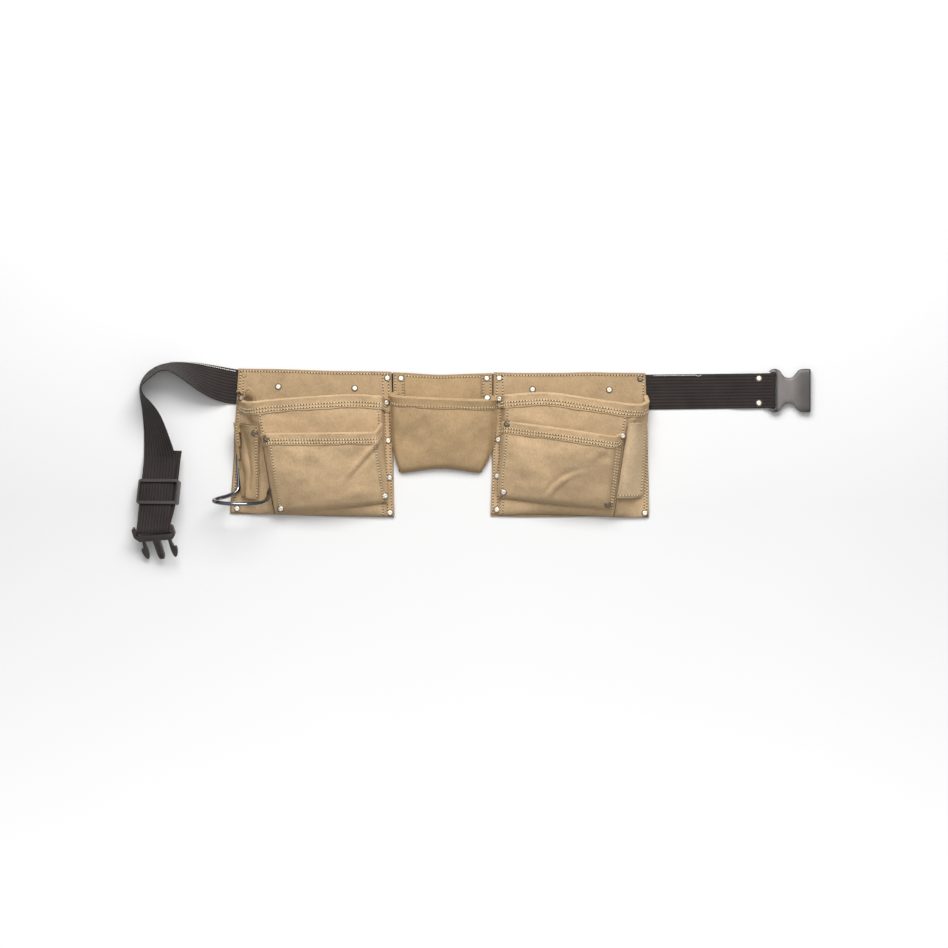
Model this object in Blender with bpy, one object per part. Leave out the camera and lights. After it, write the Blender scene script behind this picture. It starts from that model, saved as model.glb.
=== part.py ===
"""A suede tool belt laid out flat on its back: two tool bags, a small centre pouch, a web belt
with a side-release buckle, a tri-glide, a steel hammer loop and tubular rivets.

All sizes are in millimetres and become metres in one place, mesh_object. +X runs along the belt
to the right as seen from the front, +Y points up the wearer, and +Z points away from the wearer.
The belt lies on the plane z = 0.
"""

import math

import bmesh
import bpy
import numpy as np
from mathutils import Vector

MM = 0.001

# Materials' stock sizes.
LEATHER = 2.2
HEM = 5.0
WEB = 1.8
WEB_WIDTH = 49.0
CLEAR = 0.4

# Web line: the height of the belt's centre at each X.
WEB_LINE_X = (-331.0, -112.0, -42.0, 28.6, 250.0, 421.0)
WEB_LINE_Y = (105.0, 99.5, 96.8, 98.5, 97.5, 99.5)
WEB_Z = WEB / 2
STEP_RISE = WEB + 0.3

# Folds of the web, where one stiff section hangs on the next.
LEFT_STRAP_FOLD_X = -331.0
LEFT_BAG_FOLD_X = -112.0
RIGHT_BAG_FOLD_X = 28.6
RIGHT_STRAP_FOLD_X = 250.0
FOLD_GAP = 1.2
PANEL_GAP = 0.9

# Rivets.
RIVET_CAP_RADIUS = 4.2
RIVET_CAP_HEIGHT = 1.7
RIVET_POST_RADIUS = 1.3
RIVET_HOLE_RADIUS = 1.75
RIVET_END_Z = 0.25
RIVET_SIDES = 12
HOLE_SIDES = 8

# Side-release buckle.
BAR_RADIUS = 2.2
LOOP_RADIUS = BAR_RADIUS + 0.55 + WEB / 2
FEMALE_BAR_X = 421.0
FEMALE_BAR_Z = 6.0
FEMALE_LENGTH = 53.0
FEMALE_WIDTH = 61.0
FEMALE_THICK = 11.6
SOCKET_HEIGHT = 7.0
WEB_SLOT_END = 6.4
SOCKET_WIDTH = 51.0
MALE_FRAME_WIDTH = 62.0
MALE_FRAME_LENGTH = 16.0
MALE_THICK = 5.4
MALE_FOLD = math.radians(50.0)
ARM_HALF_SPAN = 21.5

# Tri-glide.
GLIDE_LENGTH = 36.0
GLIDE_RAIL = 2.4
GLIDE_BAR = 4.2
GLIDE_BAR_THICK = 2.6

# Steel wire of the hammer loop.
WIRE_RADIUS = 2.9
WIRE_SIDES = 10


# ---------------------------------------------------------------- scene and mesh helpers


def clear_scene():
    for obj in list(bpy.data.objects):
        bpy.data.objects.remove(obj)


def material(name, color, roughness, metallic=0.0):
    made = bpy.data.materials.new(name)
    made.use_nodes = True
    shader = made.node_tree.nodes["Principled BSDF"]
    shader.inputs["Base Color"].default_value = (*color, 1.0)
    shader.inputs["Roughness"].default_value = roughness
    shader.inputs["Metallic"].default_value = metallic
    made.diffuse_color = (*color, 1.0)
    return made


def mesh_object(name, points, faces, finish, origin=(0.0, 0.0, 0.0)):
    """An object from points in millimetres, with its own origin, also in millimetres."""
    mesh = bpy.data.meshes.new(name)
    start = np.asarray(origin, float)
    places = (np.asarray(points, float) - start) * MM
    mesh.from_pydata([tuple(p) for p in places], [], faces)
    mesh.materials.append(finish)
    obj = bpy.data.objects.new(name, mesh)
    obj.location = Vector(start * MM)
    bpy.context.scene.collection.objects.link(obj)
    return obj


def face_outward(obj):
    work = bmesh.new()
    work.from_mesh(obj.data)
    bmesh.ops.recalc_face_normals(work, faces=work.faces)
    work.to_mesh(obj.data)
    work.free()


def shade_round(obj, angle=35.0):
    obj.data.shade_smooth()
    obj.data.set_sharp_from_angle(angle=math.radians(angle))


def sheet(name, grid, thickness, finish, origin=(0.0, 0.0, 0.0)):
    """A sheet of even thickness about a grid of centre points, grid[row][column]."""
    grid = np.asarray(grid, float)
    rows, columns = grid.shape[:2]
    faces = []
    for i in range(rows - 1):
        for j in range(columns - 1):
            corner = i * columns + j
            faces.append((corner, corner + 1, corner + columns + 1, corner + columns))
    obj = mesh_object(name, grid.reshape(-1, 3), faces, finish, origin)
    thicken = obj.modifiers.new("thickness", "SOLIDIFY")
    thicken.thickness = thickness * MM
    thicken.offset = 0.0
    thicken.use_even_offset = True
    shade_round(obj)
    return obj


def prism_points(outline, bottom, top):
    """The corners of an outline in XY, at two heights."""
    low = [(x, y, bottom) for x, y in outline]
    high = [(x, y, top) for x, y in outline]
    return low + high


def prism_faces(count, start=0):
    """Faces of a prism whose lower ring starts at a given point, the upper ring after it."""
    low = [start + i for i in range(count)]
    high = [start + count + i for i in range(count)]
    sides = [(low[i], low[(i + 1) % count], high[(i + 1) % count], high[i]) for i in range(count)]
    return [tuple(reversed(low)), tuple(high), *sides]


def prism(name, outline, bottom, top, finish, frame=None, origin=(0.0, 0.0, 0.0)):
    points = prism_points(outline, bottom, top)
    if frame is not None:
        points = [frame.place(p) for p in points]
    obj = mesh_object(name, points, prism_faces(len(outline)), finish, origin)
    face_outward(obj)
    return obj


def tube(name, path, radius, sides, finish):
    """A round wire along a path, with flat ends."""
    path = np.asarray(path, float)
    points, faces = [], []
    side = np.array([0.0, 1.0, 0.0])
    for i, place in enumerate(path):
        ahead = path[min(i + 1, len(path) - 1)] - path[max(i - 1, 0)]
        ahead /= np.linalg.norm(ahead)
        side = side - ahead * side.dot(ahead)
        if np.linalg.norm(side) < 0.2:
            side = np.cross(ahead, (1.0, 0.0, 0.0))
        side /= np.linalg.norm(side)
        up = np.cross(ahead, side)
        for k in range(sides):
            turn = 2 * math.pi * k / sides
            points.append(place + radius * (math.cos(turn) * side + math.sin(turn) * up))
    for i in range(len(path) - 1):
        for k in range(sides):
            here = i * sides + k
            following = i * sides + (k + 1) % sides
            faces.append((here, following, following + sides, here + sides))
    faces.append(tuple(reversed(range(sides))))
    faces.append(tuple(range((len(path) - 1) * sides, len(path) * sides)))
    obj = mesh_object(name, points, faces, finish)
    face_outward(obj)
    shade_round(obj)
    return obj


def cut(obj, cutter):
    """Cuts a hidden helper's shape out of an object."""
    cutter.hide_render = True
    cutter.display_type = "WIRE"
    boolean = obj.modifiers.new("cut", "BOOLEAN")
    boolean.operation = "DIFFERENCE"
    boolean.solver = "EXACT"
    boolean.object = cutter


def smooth_curve(points, count):
    """A Catmull-Rom curve through points of any dimension, read at even steps of its parameter."""
    points = np.asarray(points, float)
    padded = np.vstack([2 * points[0] - points[1], points, 2 * points[-1] - points[-2]])
    found = []
    for step in np.linspace(0, len(points) - 1 - 1e-9, count):
        i = int(step)
        f = step - i
        a, b, c, d = padded[i : i + 4]
        cubic = 3 * b - a - 3 * c + d
        found.append(0.5 * (2 * b + (c - a) * f + (2 * a - 5 * b + 4 * c - d) * f * f + cubic * f**3))
    return np.array(found)


class Frame:
    """A local frame: across, along and up directions at an origin."""

    def __init__(self, origin, across, along):
        self.origin = np.asarray(origin, float)
        self.along = np.asarray(along, float) / np.linalg.norm(along)
        across = np.asarray(across, float)
        across = across - self.along * across.dot(self.along)
        self.across = across / np.linalg.norm(across)
        self.up = np.cross(self.across, self.along)
        if self.up[2] < 0:
            self.up = -self.up

    def place(self, point):
        x, y, z = point
        return self.origin + x * self.across + y * self.along + z * self.up

    def turned(self, origin, yaw, dip):
        """The frame yawed toward its across direction, then dipped about its new across direction."""
        across = math.cos(yaw) * self.across - math.sin(yaw) * self.along
        along = math.cos(yaw) * self.along + math.sin(yaw) * self.across
        return Frame(origin, across, math.cos(dip) * along - math.sin(dip) * self.up)


# ---------------------------------------------------------------- surfaces


def web_y(x):
    return float(np.interp(x, WEB_LINE_X, WEB_LINE_Y))


def back_z(x, y):
    """Centre height of a back panel: flat on the ground, and a step up where it covers the web."""
    lower_edge = web_y(x) - WEB_WIDTH / 2
    lift = np.interp(y, (lower_edge - 7.0, lower_edge - 1.6), (0.0, STEP_RISE))
    return LEATHER / 2 + float(lift)


def seat_z(x, y):
    """As back_z, but the step comes lower down, so that what stands on the panel clears it."""
    lower_edge = web_y(x) - WEB_WIDTH / 2
    lift = np.interp(y, (lower_edge - 30.0, lower_edge - 9.0), (0.0, STEP_RISE))
    return LEATHER / 2 + float(lift)


def lerp(a, b, t):
    return a + (b - a) * t


class Pouch:
    """A pocket wall that rises from a floor surface.

    Each column is ((rim x, rim y), (foot x, foot y), lift at the rim, fullness). The wall at
    share t of the way from foot to rim stands lift * t ** fullness above the floor. A spread
    over 1 makes the wall reach its full width low down.
    """

    def __init__(self, columns, floor, crown=0.0, front=(0, 1), spread=1.0):
        self.columns = columns
        self.floor = floor
        self.crown = crown
        self.front = front
        self.spread = spread

    def point(self, s, t):
        """The wall's centre at column position s and share t of the height."""
        i = min(int(s), len(self.columns) - 2)
        f = s - i
        sides = []
        widened = 1.0 - (1.0 - t) ** self.spread
        for rim, foot, lift, fullness in self.columns[i : i + 2]:
            x = lerp(foot[0], rim[0], widened)
            y = lerp(foot[1], rim[1], t)
            sides.append(np.array([x, y, lift * t**fullness]))
        x, y, lift = lerp(sides[0], sides[1], f)
        first, last = self.front
        if first < s < last:
            swell = math.sin(math.pi * (s - first) / (last - first))
            lift += self.crown * swell * math.sin(math.pi * min(1.0, 0.15 + 0.6 * t))
        return np.array([x, y, self.floor(x, y) + lift])

    def grid(self, s_values, t_values):
        return np.array([[self.point(s, t) for s in s_values] for t in t_values])

    def height(self, x, y):
        """The centre height of the wall's front above a point, read between its front columns."""
        first, last = self.front
        t = 0.5
        s = float(first)
        for _ in range(12):
            edges = [lerp(foot[0], rim[0], t) for rim, foot, _, _ in self.columns[first : last + 1]]
            s = float(np.interp(x, edges, range(first, last + 1)))
            i = min(int(s), last - 1)
            rims = [self.columns[i][0][1], self.columns[i + 1][0][1]]
            feet = [self.columns[i][1][1], self.columns[i + 1][1][1]]
            top = lerp(rims[0], rims[1], s - i)
            bottom = lerp(feet[0], feet[1], s - i)
            t = min(1.0, max(0.0, (y - bottom) / (top - bottom)))
        return self.point(s, t)[2]


def panel_grid(corners, columns, y_breaks, height, arch=0.0, sag=0.0):
    """Rows of points over a four-sided panel.

    The corners are bottom left, bottom right, top right and top left. arch lifts the middle of
    the bottom edge, and sag lowers the middle of the top edge.
    """
    bottom_left, bottom_right, top_right, top_left = corners
    grid = []
    for share in y_breaks:
        row = []
        for j in range(columns):
            f = j / (columns - 1)
            x = lerp(lerp(bottom_left[0], bottom_right[0], f), lerp(top_left[0], top_right[0], f), share)
            y = lerp(lerp(bottom_left[1], bottom_right[1], f), lerp(top_left[1], top_right[1], f), share)
            y += lerp(arch, -sag, share) * (1.0 - (2.0 * f - 1.0) ** 2)
            row.append((x, y, height(x, y)))
        grid.append(row)
    return grid


def row_shares(count, power=1.5):
    """Shares of a pocket's height, closer together near its foot."""
    return [(i / (count - 1)) ** power for i in range(count)]


# ---------------------------------------------------------------- rivets


def rivet(name, x, y, top, finish):
    """A rivet with a low domed cap above the leather and a post down through the layers."""
    cap_base = top + 0.35
    profile = [
        (0.0, cap_base + RIVET_CAP_HEIGHT),
        (RIVET_CAP_RADIUS * 0.6, cap_base + RIVET_CAP_HEIGHT * 0.85),
        (RIVET_CAP_RADIUS, cap_base + 0.5),
        (RIVET_CAP_RADIUS, cap_base),
        (RIVET_POST_RADIUS, cap_base),
        (RIVET_POST_RADIUS, RIVET_END_Z),
        (0.0, RIVET_END_Z),
    ]
    points = [(x, y, profile[0][1])]
    for radius, z in profile[1:-1]:
        for k in range(RIVET_SIDES):
            turn = 2 * math.pi * k / RIVET_SIDES
            points.append((x + radius * math.cos(turn), y + radius * math.sin(turn), z))
    points.append((x, y, RIVET_END_Z))
    rings = len(profile) - 2
    last = len(points) - 1
    faces = []
    for k in range(RIVET_SIDES):
        k2 = (k + 1) % RIVET_SIDES
        faces.append((0, 1 + k, 1 + k2))
        for ring in range(rings - 1):
            a = 1 + ring * RIVET_SIDES
            b = a + RIVET_SIDES
            faces.append((a + k, b + k, b + k2, a + k2))
        end = 1 + (rings - 1) * RIVET_SIDES
        faces.append((last, end + k2, end + k))
    obj = mesh_object(name, points, faces, finish, (x, y, top))
    face_outward(obj)
    shade_round(obj, 40.0)
    return obj


def hole_cutter(name, places):
    """One hidden helper with a drill for each rivet place."""
    points, faces = [], []
    for x, y in places:
        outline = [
            (
                x + RIVET_HOLE_RADIUS * math.cos(2 * math.pi * k / HOLE_SIDES),
                y + RIVET_HOLE_RADIUS * math.sin(2 * math.pi * k / HOLE_SIDES),
            )
            for k in range(HOLE_SIDES)
        ]
        faces += prism_faces(HOLE_SIDES, len(points))
        points += prism_points(outline, -5.0, 12.0)
    cutter = mesh_object(name, points, faces, None)
    face_outward(cutter)
    return cutter


# ---------------------------------------------------------------- the two bags


def seat(x, y):
    """The floor that a pocket wall stands on: the back panel's face, with a clear gap."""
    return seat_z(x, y) + LEATHER + CLEAR


def on_pouch(pouch, gap):
    """The floor for something sewn onto a pocket's front."""
    return lambda x, y: pouch.height(x, y) + gap


def pocket_parts(prefix, pouch, seams, hem_share, finish, rows=8, power=1.5):
    """The walls between neighbouring seams, and the hem that wraps the whole rim.

    seams lists (part name, first column, last column, points across).
    """
    t_values = [t * (1.0 - hem_share) for t in row_shares(rows, power)]
    for part, first, last, count in seams:
        inset_low = 0.0 if first == 0 else part_gap(pouch, first)
        inset_high = 0.0 if last == len(pouch.columns) - 1 else part_gap(pouch, last - 1)
        s_values = spread(first + inset_low, last - inset_high, count)
        sheet(f"{prefix}_{part}", pouch.grid(s_values, t_values), LEATHER, finish)
    every = []
    for _, first, last, count in seams:
        every += [s for s in spread(first, last, count) if s not in every]
    gap = 1.2 / rim_height(pouch)
    rim = pouch.grid(every, [1.0 - hem_share + gap, 1.0 - hem_share / 2, 1.0])
    rim[:, :, 2] += (HEM - LEATHER) / 2
    sheet(f"{prefix}_hem", rim, HEM, finish)


def rim_height(pouch):
    rim, foot = pouch.columns[1][:2]
    return abs(rim[1] - foot[1])


def part_gap(pouch, column):
    """The share of a column's spacing that leaves a clear seam between two walls."""
    a = pouch.point(column, 0.5)
    b = pouch.point(column + 1, 0.5)
    return 1.3 / float(np.linalg.norm(b - a))


def spread(first, last, count):
    """Column positions: every whole column, and even steps between."""
    whole = [s for s in range(math.ceil(first), math.floor(last) + 1)]
    steps = list(np.linspace(first, last, count))
    kept = sorted(set([first, last, *whole]) | set(steps))
    found = [kept[0]]
    for s in kept[1:]:
        if s - found[-1] > 0.12:
            found.append(s)
    found[-1] = last
    return found


LEFT_MAIN_COLUMNS = [
    ((-328.5, 93.0), (-338.0, -70.0), 0.0, 1.0),
    ((-325.0, 88.5), (-328.0, -70.5), 5.0, 1.8),
    ((-316.5, 84.0), (-304.0, -72.5), 25.0, 0.9),
    ((-303.0, 84.5), (-276.5, -73.5), 40.0, 0.5),
    ((-270.0, 88.0), (-240.0, -74.0), 36.0, 0.5),
    ((-176.0, 94.0), (-170.0, -75.5), 27.0, 0.5),
    ((-129.0, 92.5), (-121.0, -76.0), 21.0, 0.6),
    ((-125.0, 88.0), (-120.0, -76.0), 0.0, 1.0),
    ((-115.0, 88.0), (-110.0, -76.0), 0.0, 1.0),
]
RIGHT_MAIN_COLUMNS = [
    ((31.5, 93.0), (26.0, -72.0), 0.0, 1.0),
    ((42.0, 93.0), (36.5, -73.0), 0.0, 1.0),
    ((47.0, 94.0), (38.5, -74.0), 21.0, 0.6),
    ((104.0, 97.0), (104.0, -72.8), 28.0, 0.5),
    ((169.0, 88.0), (160.0, -74.5), 36.0, 0.5),
    ((219.0, 81.0), (197.5, -77.0), 41.0, 0.5),
    ((236.0, 80.5), (220.0, -77.5), 29.0, 0.8),
    ((245.5, 86.5), (239.0, -77.0), 12.0, 1.3),
    ((243.5, 93.5), (247.0, -74.0), 0.0, 1.0),
]
LEFT_OUTER_COLUMNS = [
    ((-294.0, 38.5), (-276.5, -70.0), 0.0, 1.0),
    ((-287.0, 40.0), (-271.0, -70.2), 10.0, 0.5),
    ((-215.0, 40.5), (-200.0, -66.0), 17.0, 0.5),
    ((-137.0, 41.5), (-122.5, -57.0), 20.0, 0.6),
    ((-128.5, 54.0), (-118.5, -56.0), 0.0, 1.0),
]
RIGHT_OUTER_COLUMNS = [
    ((44.5, 55.5), (37.5, -48.5), 0.0, 1.0),
    ((50.0, 56.5), (43.0, -50.0), 10.0, 0.5),
    ((125.0, 46.5), (104.0, -58.0), 17.0, 0.5),
    ((198.0, 35.5), (190.0, -66.5), 19.0, 0.6),
    ((211.0, 42.0), (197.0, -60.0), 0.0, 1.0),
]


def bag(side, corners, main_columns, outer_columns, main_front, seams, finish):
    """A bag's back panel, main pocket and outer pocket. Returns the back panel."""
    web_low = web_y((corners[0][0] + corners[1][0]) / 2) - WEB_WIDTH / 2
    bottom, top = corners[0][1], corners[3][1]
    breaks = [0.0]
    breaks += [(web_low + step - bottom) / (top - bottom) for step in (-9.0, -5.5, 0.5, 3.5)]
    breaks += [1.0]
    back = sheet(f"{side}_back_panel", panel_grid(corners, 4, breaks, back_z), LEATHER, finish)
    main = Pouch(main_columns, seat, crown=5.0, front=main_front)
    pocket_parts(f"{side}_main", main, seams, 0.105, finish)
    outer = Pouch(outer_columns, on_pouch(main, LEATHER + 0.9), crown=6.0, front=(1, 3))
    outer_seams = [("gusset_left", 0, 1, 3), ("front", 1, 3, 9), ("gusset_right", 3, 4, 3)]
    pocket_parts(f"{side}_outer", outer, outer_seams, 0.16, finish, rows=7)
    return back


# ---------------------------------------------------------------- centre


def centre_section(finish):
    """The centre's back panel, its two side strips and the turned pouch."""
    left = LEFT_BAG_FOLD_X + PANEL_GAP
    right = RIGHT_BAG_FOLD_X - PANEL_GAP
    low = web_y(0.5 * (left + right)) - WEB_WIDTH / 2
    bottom, top = -14.0, 124.7
    corners = ((left + 8.0, bottom), (right - 15.0, bottom), (right, top), (left, top))
    shares = [(low + step - bottom) / (top - bottom) for step in (-9.0, -5.5, 0.5, 3.5)]
    grid = panel_grid(corners, 7, [0.0, *shares, 1.0], back_z, arch=5.0, sag=3.0)
    back = sheet("centre_back_panel", grid, LEATHER, finish)

    def over_band(x, y):
        return back_z(x, y) + LEATHER + CLEAR

    strips = []
    for side, x0, x1 in (("left", left + 0.4, left + 15.6), ("right", right - 15.0, right - 0.4)):
        strip = panel_grid(((x0, 100.5), (x1, 100.5), (x1, 122.0), (x0, 122.0)), 2, (0.0, 1.0), over_band)
        strips.append(sheet(f"centre_strip_{side}", strip, LEATHER, finish))
    pouch = Pouch(
        [
            ((-107.0, 93.0), (-102.5, -12.5), 0.0, 1.0),
            ((-114.0, 91.5), (-100.5, -14.0), 10.0, 0.6),
            ((-101.0, 91.5), (-94.0, -14.5), 24.0, 0.5),
            ((-45.0, 90.0), (-44.0, -9.0), 27.0, 0.45),
            ((15.0, 89.0), (4.0, -14.5), 24.0, 0.5),
            ((31.5, 89.0), (10.5, -14.0), 10.0, 0.6),
            ((23.0, 91.0), (12.5, -12.5), 0.0, 1.0),
        ],
        seat,
        spread=4.0,
    )
    s_values = spread(0, 6, 15)
    sheet("centre_pouch", pouch.grid(s_values, [0.86 * t for t in row_shares(9)]), LEATHER, finish)
    rim = pouch.grid(s_values, [0.868, 0.93, 1.0])
    rim[:, :, 2] += (HEM - LEATHER) / 2
    sheet("centre_pouch_hem", rim, HEM, finish)
    return back, strips


# ---------------------------------------------------------------- side holder, sleeve and loop


def holder(gusset, finish):
    """The tool holder on the left gusset: a back leaf and a front leaf that bulges off it."""
    back = []
    front = []
    for share in np.linspace(0.0, 1.0, 6):
        y = lerp(-48.0, 54.0, share)
        left = lerp(-323.0, -334.0, share)
        right = lerp(-300.0, -298.5, share)
        fold = lerp(-317.5, -326.0, share)
        back_row = []
        front_row = []
        for f in np.linspace(0.0, 1.0, 6):
            x = lerp(left, right, f)
            back_row.append((x, y - 2.0 * f, leaf_z(gusset, x, y)))
            x = lerp(fold, right - 1.0, f)
            swell = 4.8 + 5.5 * math.sin(math.pi * min(1.0, 0.28 + 0.72 * f))
            front_row.append((x, y - 2.0 * f - 3.0, leaf_z(gusset, x, y) + swell))
        back.append(back_row)
        front.append(front_row)
    sheet("holder_back_leaf", back, LEATHER * 0.9, finish)
    sheet("holder_front_leaf", front, LEATHER * 0.9, finish)


def leaf_z(gusset, x, y):
    """The back leaf's centre: over the steel loop's leg, and off the gusset where that rises."""
    over_wire = 14.5
    return max(over_wire, gusset.height(x, y) + 6.0)


def square_sleeve(main, finish):
    """The flat sleeve for a square, sewn on the right bag's gusset, open at its top."""
    grid = []
    for share in np.linspace(0.0, 1.0, 6):
        y = lerp(-51.0, 53.5, share)
        left = lerp(202.0, 218.5, share)
        right = lerp(238.0, 242.5, share)
        row = []
        for f in np.linspace(0.0, 1.0, 5):
            x = lerp(left, right, f)
            swell = 9.5 * math.sin(math.pi * f) * (0.35 + 0.65 * share)
            row.append((x, y, main.height(x, y) + LEATHER + 2.6 + swell))
        grid.append(row)
    return sheet("square_sleeve", grid, LEATHER, finish)


HAMMER_LOOP_ROUTE = [
    (-329.5, 8.0, 9.0),
    (-328.8, -14.0, 8.8),
    (-328.0, -30.0, 8.8),
    (-330.0, -41.0, 11.5),
    (-342.0, -48.0, 19.0),
    (-356.0, -52.0, 31.0),
    (-361.0, -54.5, 42.0),
    (-355.0, -57.0, 52.0),
    (-338.0, -59.0, 59.0),
    (-318.0, -59.5, 59.0),
    (-300.0, -58.5, 50.5),
    (-289.5, -55.5, 42.0),
    (-285.2, -49.0, 35.0),
    (-285.0, -41.0, 31.0),
    (-286.5, -32.0, 30.5),
]


def hammer_loop(finish):
    return tube("hammer_loop", smooth_curve(HAMMER_LOOP_ROUTE, 44), WIRE_RADIUS, WIRE_SIDES, finish)


# ---------------------------------------------------------------- web


def flat_web(name, fold_before, fold_after, finish):
    """The web where it lies flat, between two folds."""
    x0, x1 = fold_before + FOLD_GAP, fold_after - FOLD_GAP
    stations = np.linspace(x0, x1, 2 + int((x1 - x0) / 60))
    half = WEB_WIDTH / 2
    rows = [[(x, web_y(x) + side, WEB_Z) for x in stations] for side in (-half, 0.0, half)]
    return sheet(name, rows, WEB, finish)


def loop_section(start, radius, turns, height):
    """(along, up) pairs of a web that comes in above a bar, rounds it and leaves below."""
    return [(start + radius * math.cos(a), height + radius * math.sin(a)) for a in turns]


def right_strap(finish):
    """The right strap: flat, over the female buckle's bar, and sewn back under itself."""
    x0 = RIGHT_STRAP_FOLD_X + FOLD_GAP
    turns = np.radians([90.0, 60.0, 30.0, 0.0, -30.0, -60.0, -90.0])
    round_bar = loop_section(FEMALE_BAR_X, LOOP_RADIUS, turns, FEMALE_BAR_Z)
    upper = WEB_Z + WEB + 0.4
    profile = [(x0, WEB_Z), (310.0, WEB_Z), (360.0, WEB_Z), (376.0, upper), (407.5, upper)]
    profile += [(413.5, FEMALE_BAR_Z + LOOP_RADIUS * 0.6), *round_bar]
    profile += [(410.0, WEB_Z + 0.9), (400.0, WEB_Z), (384.0, WEB_Z)]
    half = WEB_WIDTH / 2
    rows = [[(x, web_y(x) + side, z) for x, z in profile] for side in (-half, 0.0, half)]
    return sheet("right_strap_web", rows, WEB, finish, (RIGHT_STRAP_FOLD_X, web_y(x0), WEB_Z))


# The left strap's outer edge, (x, y, height of that edge), and how far the strap leans there.
LEFT_STRAP_EDGE = [
    ((-332.3, 129.5, 0.9), 0.0),
    ((-349.3, 132.5, 1.15), 13.0),
    ((-368.9, 136.0, 1.15), 30.0),
    ((-388.5, 138.8, 1.15), 46.0),
    ((-408.0, 139.8, 1.15), 62.0),
    ((-426.3, 138.2, 1.15), 76.0),
    ((-441.7, 134.0, 1.15), 79.0),
    ((-454.3, 126.3, 1.15), 78.0),
    ((-462.7, 116.2, 1.15), 80.5),
    ((-466.6, 104.3, 1.15), 85.0),
    ((-466.2, 91.7, 1.15), 81.0),
    ((-464.5, 79.1, 1.15), 70.0),
    ((-462.7, 63.7, 1.15), 58.0),
    ((-461.3, 44.1, 1.2), 47.0),
    ((-461.0, 23.1, 2.0), 34.0),
    ((-461.1, 6.0, 4.2), 22.0),
]
STRAP_STRAIGHT_START = (-461.2, 0.0, 5.6)
STRAP_STRAIGHT_END = (-470.0, -96.0, 29.0)
STRAP_LEAN = math.radians(19.4)
BUCKLE_YAW = math.radians(5.0)
YAWED_REACH = 22.0


def strap_frame():
    """The frame of the left strap's straight lower stretch, at its outer edge's start."""
    along = np.subtract(STRAP_STRAIGHT_END, STRAP_STRAIGHT_START)
    across = (math.cos(STRAP_LEAN), 0.01, math.sin(STRAP_LEAN))
    return Frame(STRAP_STRAIGHT_START, across, along)


STRAP_STRAIGHT_LENGTH = float(np.linalg.norm(np.subtract(STRAP_STRAIGHT_END, STRAP_STRAIGHT_START)))
TAIL_SHIFT = 5.5
TAIL_DROP = WEB + 0.5
TAIL_END = -17.0
GLIDE_AT = 44.0


def left_strap(finish):
    """The left strap: it leans onto its edge round the bend, runs to the male buckle's bar,
    rounds it and comes back beneath itself through the tri-glide."""
    frame = strap_frame()
    edge = np.array([place for place, _ in LEFT_STRAP_EDGE])
    lean = np.array([[angle] for _, angle in LEFT_STRAP_EDGE])
    stations = smooth_curve(np.hstack([edge, lean]), 46)
    rows = []
    for i, (x, y, z, angle) in enumerate(stations):
        ahead = stations[min(i + 1, len(stations) - 1)][:2] - stations[max(i - 1, 0)][:2]
        ahead /= np.linalg.norm(ahead)
        inward = np.array([-ahead[1], ahead[0]])
        turn = math.radians(angle)
        width = np.array([inward[0] * math.cos(turn), inward[1] * math.cos(turn), math.sin(turn)])
        if i == 0:
            width = np.array([0.0, -1.0, 0.0])
        rows.append([np.array([x, y, z]) + width * WEB_WIDTH * f for f in (0.0, 0.5, 1.0)])
    bar = STRAP_STRAIGHT_LENGTH
    turns = np.radians([90.0, 55.0, 20.0, -15.0, -50.0, -90.0])
    profile = [(2.0, 0.0, 0.0), (30.0, 0.0, 0.0), (60.0, 0.0, 0.0), (bar - 14.0, 0.0, 0.0)]
    below = -TAIL_DROP
    middle = below / 2
    profile += [(bar - 6.0, 0.7, 0.3)]
    profile += [(along, up, 0.6) for along, up in loop_section(bar, LOOP_RADIUS, turns, middle)]
    profile += [(bar - 6.0, below - 0.9, 0.6), (bar - 12.0, below, 0.8)]
    profile += [(60.0, below, TAIL_SHIFT), (30.0, below, TAIL_SHIFT), (2.0, below, TAIL_SHIFT)]
    profile += [(TAIL_END, below - 0.6, TAIL_SHIFT + 0.5)]
    for along, up, shift in profile:
        slant = math.tan(BUCKLE_YAW) * float(np.interp(along, (bar - YAWED_REACH, bar - 6.0), (0.0, 1.0)))
        row = [(shift + WEB_WIDTH * f, along - slant * WEB_WIDTH * (f - 0.5), up) for f in (0.0, 0.5, 1.0)]
        rows.append([frame.place(point) for point in row])
    return sheet("left_strap_web", rows, WEB, finish, (LEFT_STRAP_FOLD_X, rows[0][1][1], WEB_Z))


# ---------------------------------------------------------------- buckles


def rounded_rectangle(width, length, radius, steps=3):
    """A rectangle's outline about the origin, with round corners."""
    outline = []
    for cx, cy, start in (
        (width / 2 - radius, length / 2 - radius, 0.0),
        (-width / 2 + radius, length / 2 - radius, 90.0),
        (-width / 2 + radius, -length / 2 + radius, 180.0),
        (width / 2 - radius, -length / 2 + radius, 270.0),
    ):
        for i in range(steps + 1):
            turn = math.radians(start + 90.0 * i / steps)
            outline.append((cx + radius * math.cos(turn), cy + radius * math.sin(turn)))
    return outline


def bar_cylinder(name, frame, length, finish):
    """A round bar along a frame's across direction, centred on the frame's origin."""
    ends = [frame.place((-length / 2, 0.0, 0.0)), frame.place((length / 2, 0.0, 0.0))]
    path = [lerp(ends[0], ends[1], f) for f in (0.0, 1.0)]
    return tube(name, path, BAR_RADIUS, 12, finish)


def join_to(obj, other):
    """Makes a helper one body with an object."""
    other.hide_render = True
    other.display_type = "WIRE"
    boolean = obj.modifiers.new("join", "BOOLEAN")
    boolean.operation = "UNION"
    boolean.solver = "EXACT"
    boolean.object = other


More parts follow.
